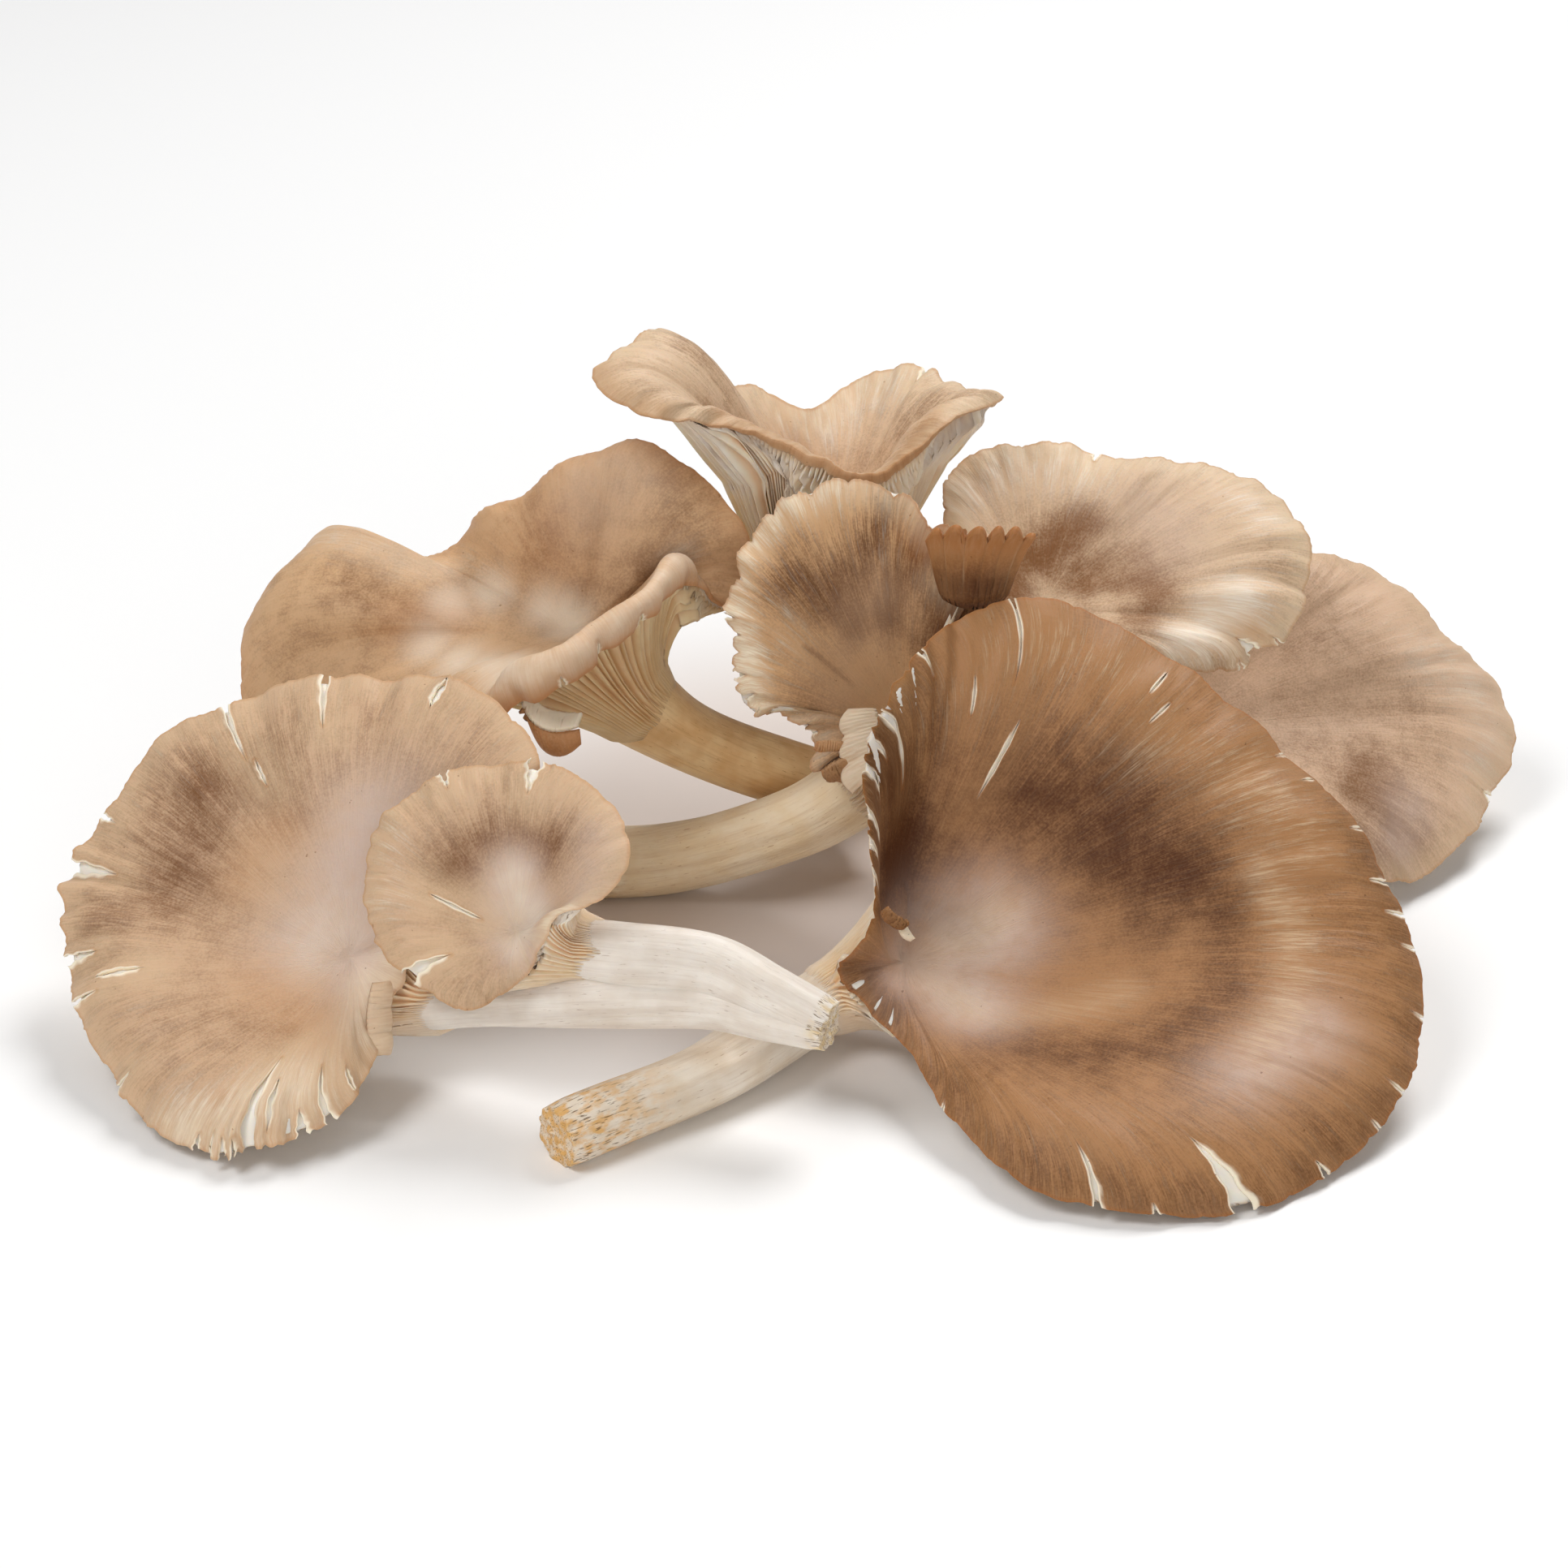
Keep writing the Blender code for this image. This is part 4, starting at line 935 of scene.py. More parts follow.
def gill_neck(cap, stem, s, last, normal, height, blade):
    """Rings from the innermost gills down to the stem's side, and one inside the stem: cubics that leave from
    `last` and arrive along the stem. The blades stand on them and sink from `height` to `blade`."""
    lead = unit(cap.read(s)[..., LEAVING])
    theta = np.arctan2(lead[:, 1], lead[:, 0])
    throat = cap.row["throat"]
    begin = stem.at(theta, np.zeros(len(theta)))
    foot = stem.at(theta, np.full(len(theta), throat), -0.1)
    hidden = stem.at(theta, np.full(len(theta), throat + 4.0), -0.7)
    down = stem.read(stem.sides, np.array([throat]))[0, 2]
    drop = np.linalg.norm(foot - last, axis=1, keepdims=True)
    aim = 0.5 * (begin - last) + 0.3 * (foot - last)
    neck = np.array([hermite(last, foot, aim, 0.8 * drop * down, way) for way in NECK_WAYS])
    side = unit(np.cross(np.roll(neck, -4, axis=1) - np.roll(neck, 4, axis=1), np.gradient(neck, axis=0)))
    side = side * -np.sign((side[0] * normal).sum())
    ebb = np.array(NECK_WAYS)[:, None]
    neck = neck + ((1 - ebb) * height + ebb * blade)[..., None] * side
    return [*neck[1:], hidden]


def gill_lid(cap, s):
    """The hidden upper side of the gills' body, a grid just under the skin, from the rim to the joint."""
    t = look_in(cap, s) * np.array(LID_SHARES)[:, None]
    s = np.broadcast_to(s, t.shape)
    sunk = 0.1 + 0.65 * flesh_share(cap, s, t)
    return cap.face(s, t) - sunk[..., None] * cap.normal_of(cap.plain, s, t)


def gill_faces(rings, lid):
    """Faces between the rings and over the lid, with a seam of triangles where the coarser lid meets the rim,
    and a fan to close each end."""
    ids = np.arange(rings.size // 3).reshape(len(rings), -1)
    lid_ids = ids.size + np.arange(lid.size // 3).reshape(len(lid), -1)
    total = ids.size + lid_ids.size
    ids, lid_ids = (np.hstack([part, part[:, :1]]) for part in (ids, lid_ids))
    steps = np.arange(len(lid_ids[0]) - 1)
    group = np.repeat(steps, LID_GROUP)
    brim = np.stack([lid_ids[0][group], ids[0, :-1], ids[0, 1:], ids[0, 1:]], axis=1)
    after = lid_ids[0][steps + 1]
    links = np.stack([lid_ids[0][steps], ids[0, (steps + 1) * LID_GROUP], after, after], axis=1)
    return np.concatenate([
        grid_faces(ids), brim, links, grid_faces(lid_ids[::-1]),
        fan_faces(total, lid_ids[-1]), fan_faces(total + 1, ids[-1, ::-1]),
    ])


def gills(name, cap, stem, material, settings, stands_for):
    """The gilled underside of a cap, down to where it dies away on the stem, closed above by a hidden lid.

    Each gill is a thin blade of four points across: foot, two for its edge, foot. Rings run from the rim in
    to the stem. Short gills fade out on the way, and the others take their room. Point = face(s, t) less
    (flesh + the gill's height) along the normal; then a cubic from there to the stem's side.
    """
    count = cap.row["gills"]
    dice = np.random.default_rng(count)
    s, alive = gill_columns(cap, settings.gill_wave * 1000 / cap.girth, dice)
    ways = np.array(GILL_WAYS)[:, None]
    crest = np.tile([0.0, 1.0, 1.0, 0.0], count)
    rolled = cap.read(s)[..., ROLLED]
    inmost = np.clip(GILL_TURN * stem.rows[0, 3] / cap.reach(s), 0.24, 0.78 - 0.3 * rolled)
    t = inmost + (look_in(cap, s) - inmost) * ways
    kept = flesh_share(cap, s, t)
    flesh = FLESH_LEAST + (FLESH_OUT + FLESH_IN * (1 - rolled) * (1 - ways) ** 2) * kept
    tall = np.interp(ways, *GILL_PROFILE) * np.repeat(alive * dice.uniform(0.85, 1.1, count), 4, axis=1)
    height = settings.gill_depth * 1000 * cap.row.get("deep", 1) * tall * kept * crest
    face, normal = cap.face(s, t), cap.normal_of(cap.plain, s, t)
    last = face[-1] - flesh[-1][:, None] * normal[-1]
    blade = NECK_BLADE * crest * alive[-1].repeat(4)
    neck = gill_neck(cap, stem, s[-1], last, normal[-1], height[-1], blade)
    rings = np.array([*(face - (flesh + height)[..., None] * normal), *neck])
    lid = gill_lid(cap, s[0, ::LID_GROUP])
    ends = np.array([cap.joint - 0.8 * cap.axes[2], rings[-1].mean(axis=0)])
    points = np.concatenate([rings.reshape(-1, 3), lid.reshape(-1, 3), ends])

    inward = np.repeat(np.concatenate([GILL_WAYS, -np.array(NECK_WAYS[1:]), [-1.2]]), rings.shape[1])
    stretch, turn = cap.girth / TAU, TAU * s[0]
    fibre = np.stack([
        np.tile(stretch * np.cos(turn), len(rings)), np.tile(stretch * np.sin(turn), len(rings)), 40 * inward,
    ], axis=1)
    rest = np.zeros(len(points) - len(inward))
    values = {
        "inward": np.concatenate([inward, rest + 0.5]),
        "white": np.concatenate([0 * inward, rest + 1]),
        "blade": np.concatenate([np.tile(crest, len(rings)), rest]),
        "fibre": np.concatenate([fibre, np.zeros((len(rest), 3))]),
    }
    faces = gill_faces(rings, lid)
    return make_piece("gills_" + name, points, faces, values, material, stands_for)


def look_in(cap, s):
    """The share of the way out at which the gilled side's rim lies, a fixed distance inside the skin's."""
    return 1 - np.clip(1.3 / cap.reach(s), 0.012, 0.12)


STEM_COLUMNS = 88
STEM_HIDDEN = 6.0  # how far above the throat a stem starts
STEM_RING = 0.9  # between rings
STEM_LEAN = 40  # length over which the grooves lean once
CUT_REACH = 4  # how far from the cut the stem frays
LAST_RINGS = (0.5, 0.2, 0.0)  # rings before the cut
CUT_RINGS = (0.99, 0.95, 0.86, 0.7, 0.5, 0.3, 0.14)  # rings of the cut face, in shares of the radius
CUT_BULGE, CUT_RAGGED = 0.25, 0.15  # how far the cut face stands out, and how rough it is


def stem_piece(name, cap, stem, material, stands_for):
    """A stem from inside the throat to its cut: the tube's own surface with lengthwise grooves and a soft
    unevenness, and a cut face of shrinking rings with torn fibres."""
    seed = cap.row["gills"] + len(name)
    evenly = np.arange(cap.row["throat"] - STEM_HIDDEN, stem.length - 0.8, STEM_RING)
    down = np.concatenate([evenly, stem.length - np.array(LAST_RINGS)])
    turn = np.arange(STEM_COLUMNS) / STEM_COLUMNS
    s, way = np.meshgrid(turn, down / STEM_LEAN)
    groove = 0.03 * ripple(s, way, 26, 1.0, seed) + 0.07 * ripple(s, way, 8, 1.2, seed + 1)
    lobes = 0.3 * ripple(s, way, 2, 0.8, seed + 2)
    near_cut = smooth(CUT_REACH, 0, stem.length - down)[:, None]
    frayed = CUT_RAGGED * near_cut * ripple(s, way, 14, 3, seed + 3)
    swell = groove + lobes - 0.3 * near_cut**3 + frayed
    rings = stem.at(TAU * s, np.broadcast_to(down[:, None], s.shape), swell)
    middle = rings[-1].mean(axis=0)
    outward = stem.sides[-1, 2]
    bumps = [CUT_RAGGED * ripple(turn, share, 7, 2, seed + 4) * min(1, 3 * share) for share in CUT_RINGS]
    cut = [middle + (rings[-1] - middle) * share + (CUT_BULGE + bump)[:, None] * outward
           for share, bump in zip(CUT_RINGS, bumps)]
    points = np.concatenate([rings, cut])
    ids = np.arange(points.size // 3).reshape(len(points), -1)
    total = ids.size
    ids = np.hstack([ids, ids[:, :1]])
    faces = np.concatenate([grid_faces(ids), fan_faces(total, ids[0]), fan_faces(total + 1, ids[-1, ::-1])])
    place = np.concatenate([down, np.full(len(cut), stem.length)])
    shares = np.concatenate([np.ones(len(rings)), CUT_RINGS])
    across = float(stem.rows[:, 3].mean()) * np.stack([np.cos(TAU * turn), np.sin(TAU * turn)], axis=1)
    lengthwise = np.repeat(place + 6 * (1 - shares), STEM_COLUMNS)
    values = {
        "fibre": np.hstack([(shares[:, None, None] * across).reshape(-1, 2), lengthwise[:, None]]),
        "to_cut": np.repeat(stem.length - place, STEM_COLUMNS),
        "cut_face": np.repeat(np.arange(len(points)) >= len(rings), STEM_COLUMNS).astype(float),
    }
    values = {label: np.concatenate([value, value[:1], value[-1:]]) for label, value in values.items()}
    ends = np.array([rings[0].mean(axis=0), middle + CUT_BULGE * outward])
    points = np.concatenate([points.reshape(-1, 3), ends])
    return make_piece("stem_part_" + name, points, faces, values, material, stands_for)


def linear(code):
    """A colour from its sRGB hex code, as linear red, green, blue and full alpha."""
    parts = [int(code[i:i + 2], 16) / 255 for i in (1, 3, 5)]
    return (*(p / 12.92 if p <= 0.04045 else ((p + 0.055) / 1.055) ** 2.4 for p in parts), 1.0)


def node(tree, kind, inputs=(), **settings):
    """Adds a node with its own settings, gives inputs their values or links, and returns its outputs."""
    made = tree.nodes.new("ShaderNode" + kind)
    for label, value in settings.items():
        setattr(made, label, value)
    for label, value in dict(inputs).items():
        if isinstance(value, bpy.types.NodeSocket):
            tree.links.new(value, made.inputs[label])
        else:
            made.inputs[label].default_value = value
    return made.outputs


def new_material(name, **shader_values):
    """A material with its tree and its shader, whose own sockets take the values."""
    made = bpy.data.materials.new(name)
    made.use_nodes = True
    tree = made.node_tree
    shader = tree.nodes["Principled BSDF"]
    for label, value in shader_values.items():
        shader.inputs[label.replace("_", " ")].default_value = value
    return made, tree, shader


def own_values(tree, *labels):
    """The values that a piece carries at its points; "fibre" is a place along its fibres, in millimetres."""
    kinds = ["Vector" if label == "fibre" else "Fac" for label in labels]
    return [node(tree, "Attribute", attribute_name=label)[kind] for label, kind in zip(labels, kinds)]


def softly(tree, pattern, low, high, least=0.0, most=1.0, amount=1.0):
    """`amount` times a share that goes softly from least to most as a pattern goes from low to high."""
    span = {"Value": pattern, "From Min": low, "From Max": high, "To Min": least, "To Max": most}
    share = node(tree, "MapRange", span, interpolation_type="SMOOTHSTEP")["Result"]
    return node(tree, "Math", {0: share, 1: amount}, operation="MULTIPLY")[0]


def swung(tree, value, low, patterns):
    """A value that patterns swing up and down, each by its own strength and weight."""
    for pattern, strength, weight in patterns:
        swing = softly(tree, pattern, low, 0.7, -strength, strength, weight)
        value = node(tree, "Math", {0: value, 1: swing}, operation="ADD")[0]
    return value


def painted(tree, colour, coats):
    """A colour under coats of paint, each with the share of it that covers, in the order they are laid."""
    for paint, share in coats:
        colour = node(tree, "Mix", {0: share, 6: colour, 7: paint}, data_type="RGBA")[2]
    return colour


def noise(tree, vector, size, detail=3.0):
    """Noise whose features measure about `size` millimetres along each axis of a vector in millimetres."""
    scale = node(tree, "Mapping", {"Vector": vector, "Scale": tuple(1 / part for part in size)})["Vector"]
    return node(tree, "TexNoise", {"Vector": scale, "Scale": 1.0, "Detail": detail})["Fac"]


def in_millimetres(tree):
    """The place on a piece, in millimetres."""
    place = node(tree, "TexCoord")["Object"]
    return node(tree, "VectorMath", {0: place, "Scale": 1000.0}, operation="SCALE")["Vector"]


def finished(tree, shader, colour, heights):
    """Links the colour, and bump from (strength, depth in millimetres, height) layers, coarsest first."""
    tree.links.new(colour, shader.inputs["Base Color"])
    normal = {}
    for strength, depth, height in heights:
        inputs = {"Strength": strength, "Distance": depth * MM, "Height": height}
        normal = {"Normal": node(tree, "Bump", inputs | normal)["Normal"]}
    tree.links.new(normal["Normal"], shader.inputs["Normal"])


def skin_material(name, base, colours, margin_glow, hair, mottling):
    """Oyster mushroom skin: a thin dry cuticle of radial fibres over white flesh. It looks matt with a soft
    satin bloom, is mottled, and darkens where the fibres crowd together."""
    dark, pale, rose, ochre, rim = (linear(code) for code in colours)
    made, tree, shader = new_material(
        name, Roughness=0.5, Subsurface_Weight=0.12, Subsurface_Radius=(1.0, 0.45, 0.2),
        Subsurface_Scale=0.0016, Specular_IOR_Level=0.22, Sheen_Weight=0.02, Sheen_Roughness=0.5,
    )
    share, edge, white, fibre = own_values(tree, "share", "edge", "white", "fibre")
    tint = dict(zip(TINTS, own_values(tree, *TINTS)))
    place = in_millimetres(tree)
    hairs = noise(tree, fibre, (0.28, 0.28, 3.5), 2.0)
    streaks = noise(tree, fibre, (1.1, 1.1, 18.0), 3.0)
    rays = noise(tree, fibre, (4.0, 4.0, 30.0), 2.0)
    mottle = noise(tree, place, (3.2, 3.2, 3.2), 5.0)
    blotch = noise(tree, place, (14.0, 14.0, 14.0), 3.0)
    grain = noise(tree, place, (0.4, 0.4, 0.4), 2.0)
    specks = noise(tree, place, (0.9, 0.9, 0.9), 1.0)

    outer = softly(tree, share, 0.3, 0.9, 0.5, 1.5)
    depth = swung(tree, tint["dark"], 0.3, (
        (mottle, 0.13 * mottling, 1.0), (blotch, 0.14, 1.0), (grain, 0.1, 1.0),
        (rays, 0.06 * hair, outer), (streaks, 0.1 * hair, outer), (hairs, 0.13 * hair, outer),
    ))
    lift = swung(tree, tint["pale"], 0.35, (
        (hairs, 0.14 * hair, outer), (streaks, 0.12 * hair, outer), (mottle, 0.05, outer),
    ))
    glow = softly(tree, edge, 8.0, 0.5, 0.0, margin_glow)
    colour = painted(tree, base, (
        (dark, softly(tree, depth, -0.2, 1.0)),
        (rose, softly(tree, mottle, 0.25, 0.6, 0.7, 1.0, tint["rose"])),
        (pale, softly(tree, lift, 0.0, 1.05)),
        (ochre, softly(tree, streaks, 0.25, 0.6, 0.6, 1.0, tint["ochre"])),
        (rim, softly(tree, streaks, 0.3, 0.65, 0.5, 1.0, glow)),
        (ochre, softly(tree, edge, 0.8, 0.1, 0.0, 0.35)),
        (linear("#FBEDD6"), white),
        (dark, softly(tree, specks, 0.78, 0.81, 0.0, 0.5)),
    ))
    finished(tree, shader, colour, (
        (0.5, 0.45 * mottling, mottle), (0.5, 0.2 * hair, streaks), (0.5, 0.1, hairs), (0.3, 0.06, grain),
    ))
    return made


def gill_material(name, edge, valley_shade):
    """Gills and flesh: bare moist hyphae, pale and softly translucent, with painted shade, darker and yellower,
    between the blades and where they run down the stem."""
    made, tree, shader = new_material(
        name, Roughness=0.55, Subsurface_Weight=0.35, Subsurface_Radius=(1.0, 0.65, 0.35),
        Subsurface_Scale=0.0022, Sheen_Weight=0.05,
    )
    inward, blade, white, fibre = own_values(tree, "inward", "blade", "white", "fibre")
    patches = noise(tree, in_millimetres(tree), (6.0, 6.0, 6.0), 3.0)
    lines = noise(tree, fibre, (0.5, 0.5, 10.0), 2.0)
    colour = painted(tree, edge, (
        # the painted shade colour, laid thinly over all the gills as a base tone
        (valley_shade, 0.3),
        (edge, softly(tree, patches, 0.35, 0.7)),
        # painted shade between the blades, where the blade value falls
        (valley_shade, softly(tree, blade, 0.9, 0.1, 0.0, 0.5)),
        (linear("#C48A50"), softly(tree, inward, 0.9, 1.0, 0.0, 0.45)),
        # painted shade where the gills run down the stem under the cap
        (valley_shade, softly(tree, inward, 0.1, -0.6, 0.0, 0.4)),
        (linear("#C9A070"), softly(tree, lines, 0.5, 0.75, 0.0, 0.3)),
        (linear("#F6EEE2"), white),
    ))
    finished(tree, shader, colour, ((0.4, 0.2, patches), (0.4, 0.1, lines)))
    return made


def stem_material(name, colours, stain_length):
    """Stem flesh: long white hyphae side by side, so it is fibrous lengthwise and matt. Its light, shade and
    fibre colours come first, and then the earthy stain that it takes near the cut."""
    light, shade, fibre_mark, stain = (linear(code) for code in colours)
    made, tree, shader = new_material(
        name, Roughness=0.6, Subsurface_Weight=0.15, Subsurface_Radius=(1.0, 0.75, 0.5),
        Subsurface_Scale=0.002, Sheen_Weight=0.05,
    )
    to_cut, cut_face, fibre = own_values(tree, "to_cut", "cut_face", "fibre")
    hairs = noise(tree, fibre, (0.35, 0.35, 8.0), 3.0)
    ropes = noise(tree, fibre, (2.2, 2.2, 24.0), 3.0)
    cracks = noise(tree, fibre, (0.3, 0.3, 2.0), 3.0)
    crumbs = noise(tree, fibre, (1.6, 1.6, 3.0), 4.0)
    patches = noise(tree, in_millimetres(tree), (6.0, 6.0, 6.0), 3.0)
    soiled = softly(tree, to_cut, stain_length, 0.0)
    dirty = softly(tree, to_cut, 0.8 * stain_length, 2.0)
    colour = painted(tree, light, (
        (shade, softly(tree, patches, 0.3, 0.7)),
        (fibre_mark, softly(tree, ropes, 0.4, 0.75, 0.0, 0.25)),
        (fibre_mark, softly(tree, hairs, 0.5, 0.75, 0.0, 0.2)),
        (fibre_mark, softly(tree, cracks, 0.66, 0.72, 0.0, 0.6)),
        (stain, softly(tree, crumbs, 0.4, 0.62, 0.0, 0.8, soiled)),
        (linear("#6B4A22"), softly(tree, cracks, 0.56, 0.64, 0.0, 0.8, dirty)),
        (stain, node(tree, "Math", {0: cut_face, 1: 0.2}, operation="MULTIPLY")[0]),
    ))
    finished(tree, shader, colour, (
        (0.4, 0.4, patches), (0.4, 0.2, ropes), (0.4, 0.1, hairs), (0.5, -0.2, cracks),
    ))
    return made


def stage_material(tint):
    """White card with a warm painted shade under the cluster, for the cluster's shadow and the light that the
    mushrooms throw back.
    """
    made, tree, shader = new_material("white card", Roughness=0.45)
    spread = {"Vector": in_millimetres(tree), "Location": (0.1, -0.5, 0), "Scale": (1 / 75, 1 / 95, 0)}
    away = node(tree, "VectorMath", {0: node(tree, "Mapping", spread)["Vector"]}, operation="LENGTH")["Value"]
    # painted shade: the card goes softly towards the darker warm colour under the cluster
    colour = painted(tree, linear("#FFFFFF"), [(tint, softly(tree, away, 0.4, 1.1, 0.5, 0.0))])
    tree.links.new(colour, shader.inputs["Base Color"])
    return made


# Each kind of skin: its dark, pale, rose, ochre and rim colours; how much the rim colour shows; how strong the
# fibres are, and the mottling; and its slot. Its main colour is a setting.
SKINS = {
    "brown": (("#532B0C", "#DCBC98", "#D8C0B4", "#AA672B", "#A67A50"), 0.4, 1.0, 0.7, "brown_skin"),
    "tan": (("#774B27", "#EEDDC6", "#D6BFB2", "#BE8650", "#DEC09C"), 0.5, 0.9, 0.7, "tan_skin"),
    "beige": (("#7F5632", "#F1E2CE", "#DCC4B6", "#B47F48", "#DDBE98"), 0.5, 0.6, 0.7, "tan_skin"),
    "rosy": (("#7F532B", "#F0DDC6", "#D9BEA6", "#B8753C", "#CD9A6C"), 0.4, 0.4, 1.1, "pale_skin"),
    "pale": (("#683D1A", "#F2E6D0", "#CFAE90", "#A55E1C", "#E8D2B4"), 0.5, 1.1, 0.6, "pale_skin"),
    "cream": (("#84572F", "#F3E7D6", "#D8BDAC", "#B0702F", "#E6CFAE"), 0.5, 1.0, 0.8, "pale_skin"),
}
# Each kind of stem: its light, shade, fibre and stain colours, and how far up from the cut it is stained
STEMS = {
    "white": (("#F4ECE2", "#EADFD2", "#B9A596", "#E0C48A"), 3.0),
    "cream": (("#FBEBCF", "#F3DDB8", "#B98A55", "#CC9A4E"), 12.0),
    "golden": (("#F4D8A8", "#E2BA84", "#A06C30", "#B98440"), 12.0),
    "soiled": (("#F1E6D6", "#E6D6C0", "#B09070", "#E0A540"), 26.0),
}
STEM_KINDS = {"front_left": "white", "small": "white", "front_right": "soiled", "back_left": "golden"}


def skin_looks(scene):
    """The material, slot and thickness of each kind of skin."""
    return {
        kind: {
            "material": skin_material(
                kind + " cap skin", tuple(getattr(scene.oyster_colours, kind)), colours, *strengths),
            "slot": slot,
            "thickness": scene.oyster_skin.thickness * 1000,
        }
        for kind, (colours, *strengths, slot) in SKINS.items()
    }


COLOUR = {"size": 4, "min": 0.0, "max": 1.0, "subtype": "COLOR"}


class OysterColourSettings(bpy.types.PropertyGroup):
    """Main colours, in linear light"""

    brown: bpy.props.FloatVectorProperty(
        name="Brown cap", description="Main colour of the big brown cap", default=linear("#AE7F55"), **COLOUR)
    tan: bpy.props.FloatVectorProperty(
        name="Tan caps", description="Main colour of the two front caps", default=linear("#CEAB8A"), **COLOUR)
    beige: bpy.props.FloatVectorProperty(
        name="Beige cap", description="Main colour of the far right cap", default=linear("#DCBA9C"), **COLOUR)
    rosy: bpy.props.FloatVectorProperty(
        name="Rosy cap", description="Main colour of the back left cap", default=linear("#D3AC84"), **COLOUR)
    pale: bpy.props.FloatVectorProperty(
        name="Pale cap", description="Main colour of the centre cap", default=linear("#D0A67B"), **COLOUR)
    cream: bpy.props.FloatVectorProperty(
        name="Cream caps", description="Main colour of the top and right back caps", default=linear("#DDBF9F"),
        **COLOUR)
    gill_edge: bpy.props.FloatVectorProperty(
        name="Gills", description="Colour of the gills' edges", default=linear("#FBEFDC"), **COLOUR)
    # painted shade between the gills and down the stem, also a thin base tone over them
    gill_valley_shade: bpy.props.FloatVectorProperty(
        name="Between gills", description="Colour between the gills", default=linear("#DFAD74"), **COLOUR)
    # painted shade on the floor under the cluster, for its shadow and the warm light thrown back
    floor_painted_shade: bpy.props.FloatVectorProperty(
        name="Floor tint", description="Colour thrown on the floor under the cluster",
        default=linear("#B89A84"), **COLOUR)


class OysterSkinSettings(bpy.types.PropertyGroup):
    """Sizes of the caps' skin"""

    thickness: bpy.props.FloatProperty(
        name="Skin thickness", description="Thickness of a cap's skin away from its rim", default=0.0011,
        min=0.0005, max=0.004, unit="LENGTH", subtype="DISTANCE")
    wrinkle: bpy.props.FloatProperty(
        name="Fibre height", description="Height of the fine radial fibres", default=0.001,
        min=0.0, max=0.003, unit="LENGTH", subtype="DISTANCE")


class OysterGillSettings(bpy.types.PropertyGroup):
    """Sizes of the gills"""

    gill_depth: bpy.props.FloatProperty(
        name="Gill depth", description="Height of a gill at its deepest", default=0.0030,
        min=0.001, max=0.006, unit="LENGTH", subtype="DISTANCE")
    gill_wave: bpy.props.FloatProperty(
        name="Gill sway", description="How far a gill wanders sideways", default=0.00035, min=0.0, max=0.001,
        unit="LENGTH", subtype="DISTANCE")


class OysterStageSettings(bpy.types.PropertyGroup):
    """Floor and camera"""

    floor_size: bpy.props.FloatProperty(
        name="Floor size", description="Side of the floor", default=8.0, min=1.0, max=20.0, unit="LENGTH",
        subtype="DISTANCE")
    camera_distance: bpy.props.FloatProperty(
        name="Camera distance", description="From the camera to the middle of the cluster", default=0.8,
        min=0.3, max=3.0, unit="LENGTH", subtype="DISTANCE")
    camera_elevation: bpy.props.FloatProperty(
        name="Camera elevation", description="Angle of the camera over the floor", default=math.radians(28),
        min=0.0, max=math.radians(90), unit="ROTATION", subtype="ANGLE")
    frame_width: bpy.props.FloatProperty(
        name="Frame width", description="Width seen at the middle of the cluster", default=0.2608, min=0.05,
        max=2.0, unit="LENGTH", subtype="DISTANCE")


def cluster_caps():
    """Every cap, by its name."""
    return {name: Cap(row) for name, row in CAPS.items()}


class OYSTER_OT_skins(bpy.types.Operator):
    """Adds the skin of every cap"""

    bl_idname = "oyster.skins"
    bl_label = "Cap skins"

    def execute(self, context):
        looks = skin_looks(context.scene)
        for name, cap in cluster_caps().items():
            skin(name, cap, looks[cap.row["skin"]], context.scene.oyster_skin)
        return {"FINISHED"}


class OYSTER_OT_flaps(bpy.types.Operator):
    """Adds the torn and curled pieces of cap"""

    bl_idname = "oyster.flaps"
    bl_label = "Torn and curled pieces"

    def execute(self, context):
        looks = skin_looks(context.scene)
        for name, row in FLAPS.items():
            look = {**looks[row["skin"]], "slot": looks[CAPS[row["cap"]]["skin"]]["slot"]}
            flap(name, row, look)
        return {"FINISHED"}


class OYSTER_OT_gills(bpy.types.Operator):
    """Adds the gills and flesh under every cap"""

    bl_idname = "oyster.gills"
    bl_label = "Gills"

    def execute(self, context):
        own = context.scene.oyster_colours
        cream = gill_material("cream gills", tuple(own.gill_edge), tuple(own.gill_valley_shade))
        # the second colour of each gill material is its painted shade between the blades
        golden = gill_material("golden gills", linear("#F6DFB8"), linear("#BF8A4C"))
        for name, cap in cluster_caps().items():
            material = golden if name == "back_left" else cream
            gills(name, cap, Stem(cap), material, context.scene.oyster_gills, [solid_of(name)])
        return {"FINISHED"}


class OYSTER_OT_stems(bpy.types.Operator):
    """Adds every stem"""

    bl_idname = "oyster.stems"
    bl_label = "Stems"

    def execute(self, context):
        flesh = {kind: stem_material(kind + " stem flesh", *look) for kind, look in STEMS.items()}
        for name, cap in cluster_caps().items():
            stem_piece(name, cap, Stem(cap), flesh[STEM_KINDS.get(name, "cream")], [solid_of(name)])
        return {"FINISHED"}


def solid_of(name):
    """The frame's node that holds a mushroom's gills and stem."""
    return "stems_joined_pair" if name in ("front_left", "small") else "stem_" + name


LAMP_AIM = (0, 0, 0.03)
CAMERA_AIM = (0, 0, 38)  # in the tables' own frame


def area_light(name, place, size, power, colour):
    """A round lamp that looks at the middle of the cluster."""
    light = bpy.data.lights.new(name, "AREA")
    light.shape = "DISK"
    light.size = size
    light.energy = power
    light.color = linear(colour)[:3]
    obj = bpy.data.objects.new(name, light)
    bpy.context.scene.collection.objects.link(obj)
    point_at(obj, place, LAMP_AIM)


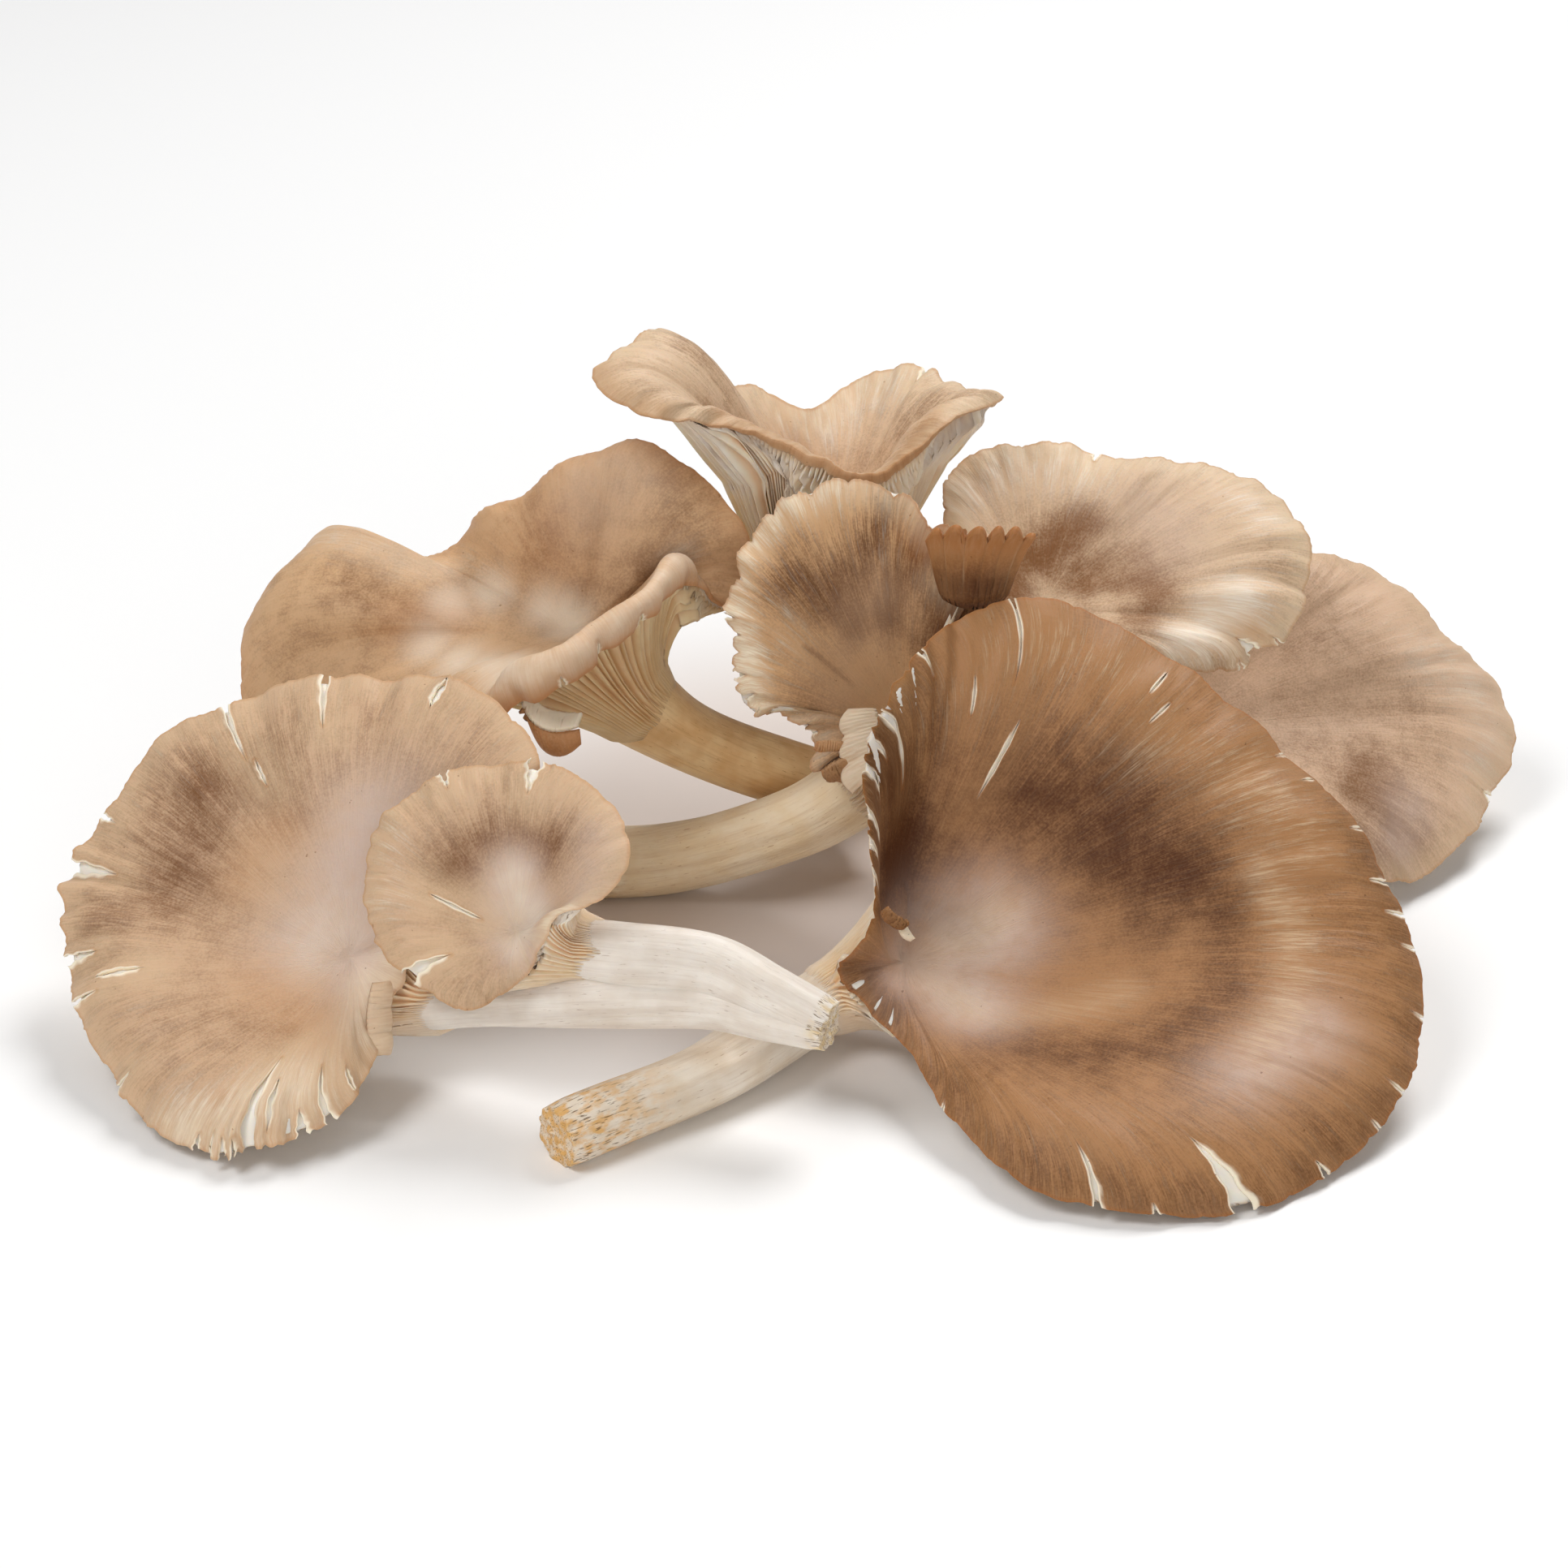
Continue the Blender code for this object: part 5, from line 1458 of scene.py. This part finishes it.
def point_at(obj, place, aim):
    """Puts a camera or lamp at a place, looking at another."""
    heading = unit(np.array(aim) - np.array(place))
    side = unit(np.cross(heading, (0, 0, 1)))
    turn = np.stack([side, np.cross(side, heading), -heading], axis=1)
    matrix = np.eye(4)
    matrix[:3, :3], matrix[:3, 3] = turn, place
    obj.matrix_world = Matrix(matrix.tolist())


class OYSTER_OT_stage(bpy.types.Operator):
    """Adds the floor, the soft lamps and the camera"""

    bl_idname = "oyster.stage"
    bl_label = "Floor, lamps and camera"

    def execute(self, context):
        scene, own = context.scene, context.scene.oyster_stage
        half = own.floor_size / 2
        mesh = bpy.data.meshes.new("floor")
        corners = [(-half, -half, 0), (half, -half, 0), (half, half, 0), (-half, half, 0)]
        mesh.from_pydata(corners, [], [(0, 1, 2, 3)])
        mesh.materials.append(stage_material(tuple(scene.oyster_colours.floor_painted_shade)))
        floor = bpy.data.objects.new("floor", mesh)
        scene.collection.objects.link(floor)

        camera = bpy.data.cameras.new("camera")
        camera.sensor_width = 36.0
        camera.lens = camera.sensor_width * own.camera_distance / own.frame_width
        camera.clip_start, camera.clip_end = 0.01, 50
        seen = bpy.data.objects.new("camera", camera)
        scene.collection.objects.link(seen)
        aim = (np.array(TO_ORIGIN) + CAMERA_AIM) * MM
        lean = own.camera_elevation
        back = np.array([0, -math.cos(lean), math.sin(lean)])
        point_at(seen, aim + own.camera_distance * back, aim)
        scene.camera = seen

        area_light("back lamp", (0.35, 0.6, 1.0), 0.6, 8.8, "#FFFFFF")
        area_light("side lamp", (-0.6, -0.35, 1.0), 0.6, 6.0, "#FFFFFF")
        area_light("front lamp", (0.25, -1.2, 0.5), 0.9, 4.2, "#FFFAF3")
        world = scene.world or bpy.data.worlds.new("white room")
        scene.world = world
        world.use_nodes = True
        sky = world.node_tree.nodes["Background"].inputs
        sky["Color"].default_value = linear("#FFFFFF")
        sky["Strength"].default_value = 0.22
        scene.view_settings.view_transform = "Standard"
        return {"FINISHED"}


class OYSTER_PT_panel(bpy.types.Panel):
    """Lists the settings and the steps"""

    bl_idname = "OYSTER_PT_panel"
    bl_label = "Oyster mushrooms"
    bl_space_type = "VIEW_3D"
    bl_region_type = "UI"
    bl_category = "Mushrooms"

    def draw(self, context):
        for group in GROUPS:
            for label in getattr(context.scene, group).__annotations__:
                self.layout.prop(getattr(context.scene, group), label)
        for step in STEPS:
            self.layout.operator(step.bl_idname)


GROUPS = {
    "oyster_colours": OysterColourSettings,
    "oyster_skin": OysterSkinSettings,
    "oyster_gills": OysterGillSettings,
    "oyster_stage": OysterStageSettings,
}
STEPS = (OYSTER_OT_stage, OYSTER_OT_skins, OYSTER_OT_flaps, OYSTER_OT_gills, OYSTER_OT_stems)


def register():
    """Registers the settings, the steps and the panel."""
    for kind in (*GROUPS.values(), *STEPS, OYSTER_PT_panel):
        bpy.utils.register_class(kind)
    for label, kind in GROUPS.items():
        setattr(bpy.types.Scene, label, bpy.props.PointerProperty(type=kind))


def unregister():
    """Takes them away again."""
    for label in GROUPS:
        delattr(bpy.types.Scene, label)
    for kind in (OYSTER_PT_panel, *STEPS, *GROUPS.values()):
        bpy.utils.unregister_class(kind)


def main():
    """Builds the whole cluster."""
    register()
    bpy.ops.oyster.stage()
    bpy.ops.oyster.skins()
    bpy.ops.oyster.flaps()
    bpy.ops.oyster.gills()
    bpy.ops.oyster.stems()


if __name__ == "__main__":
    main()
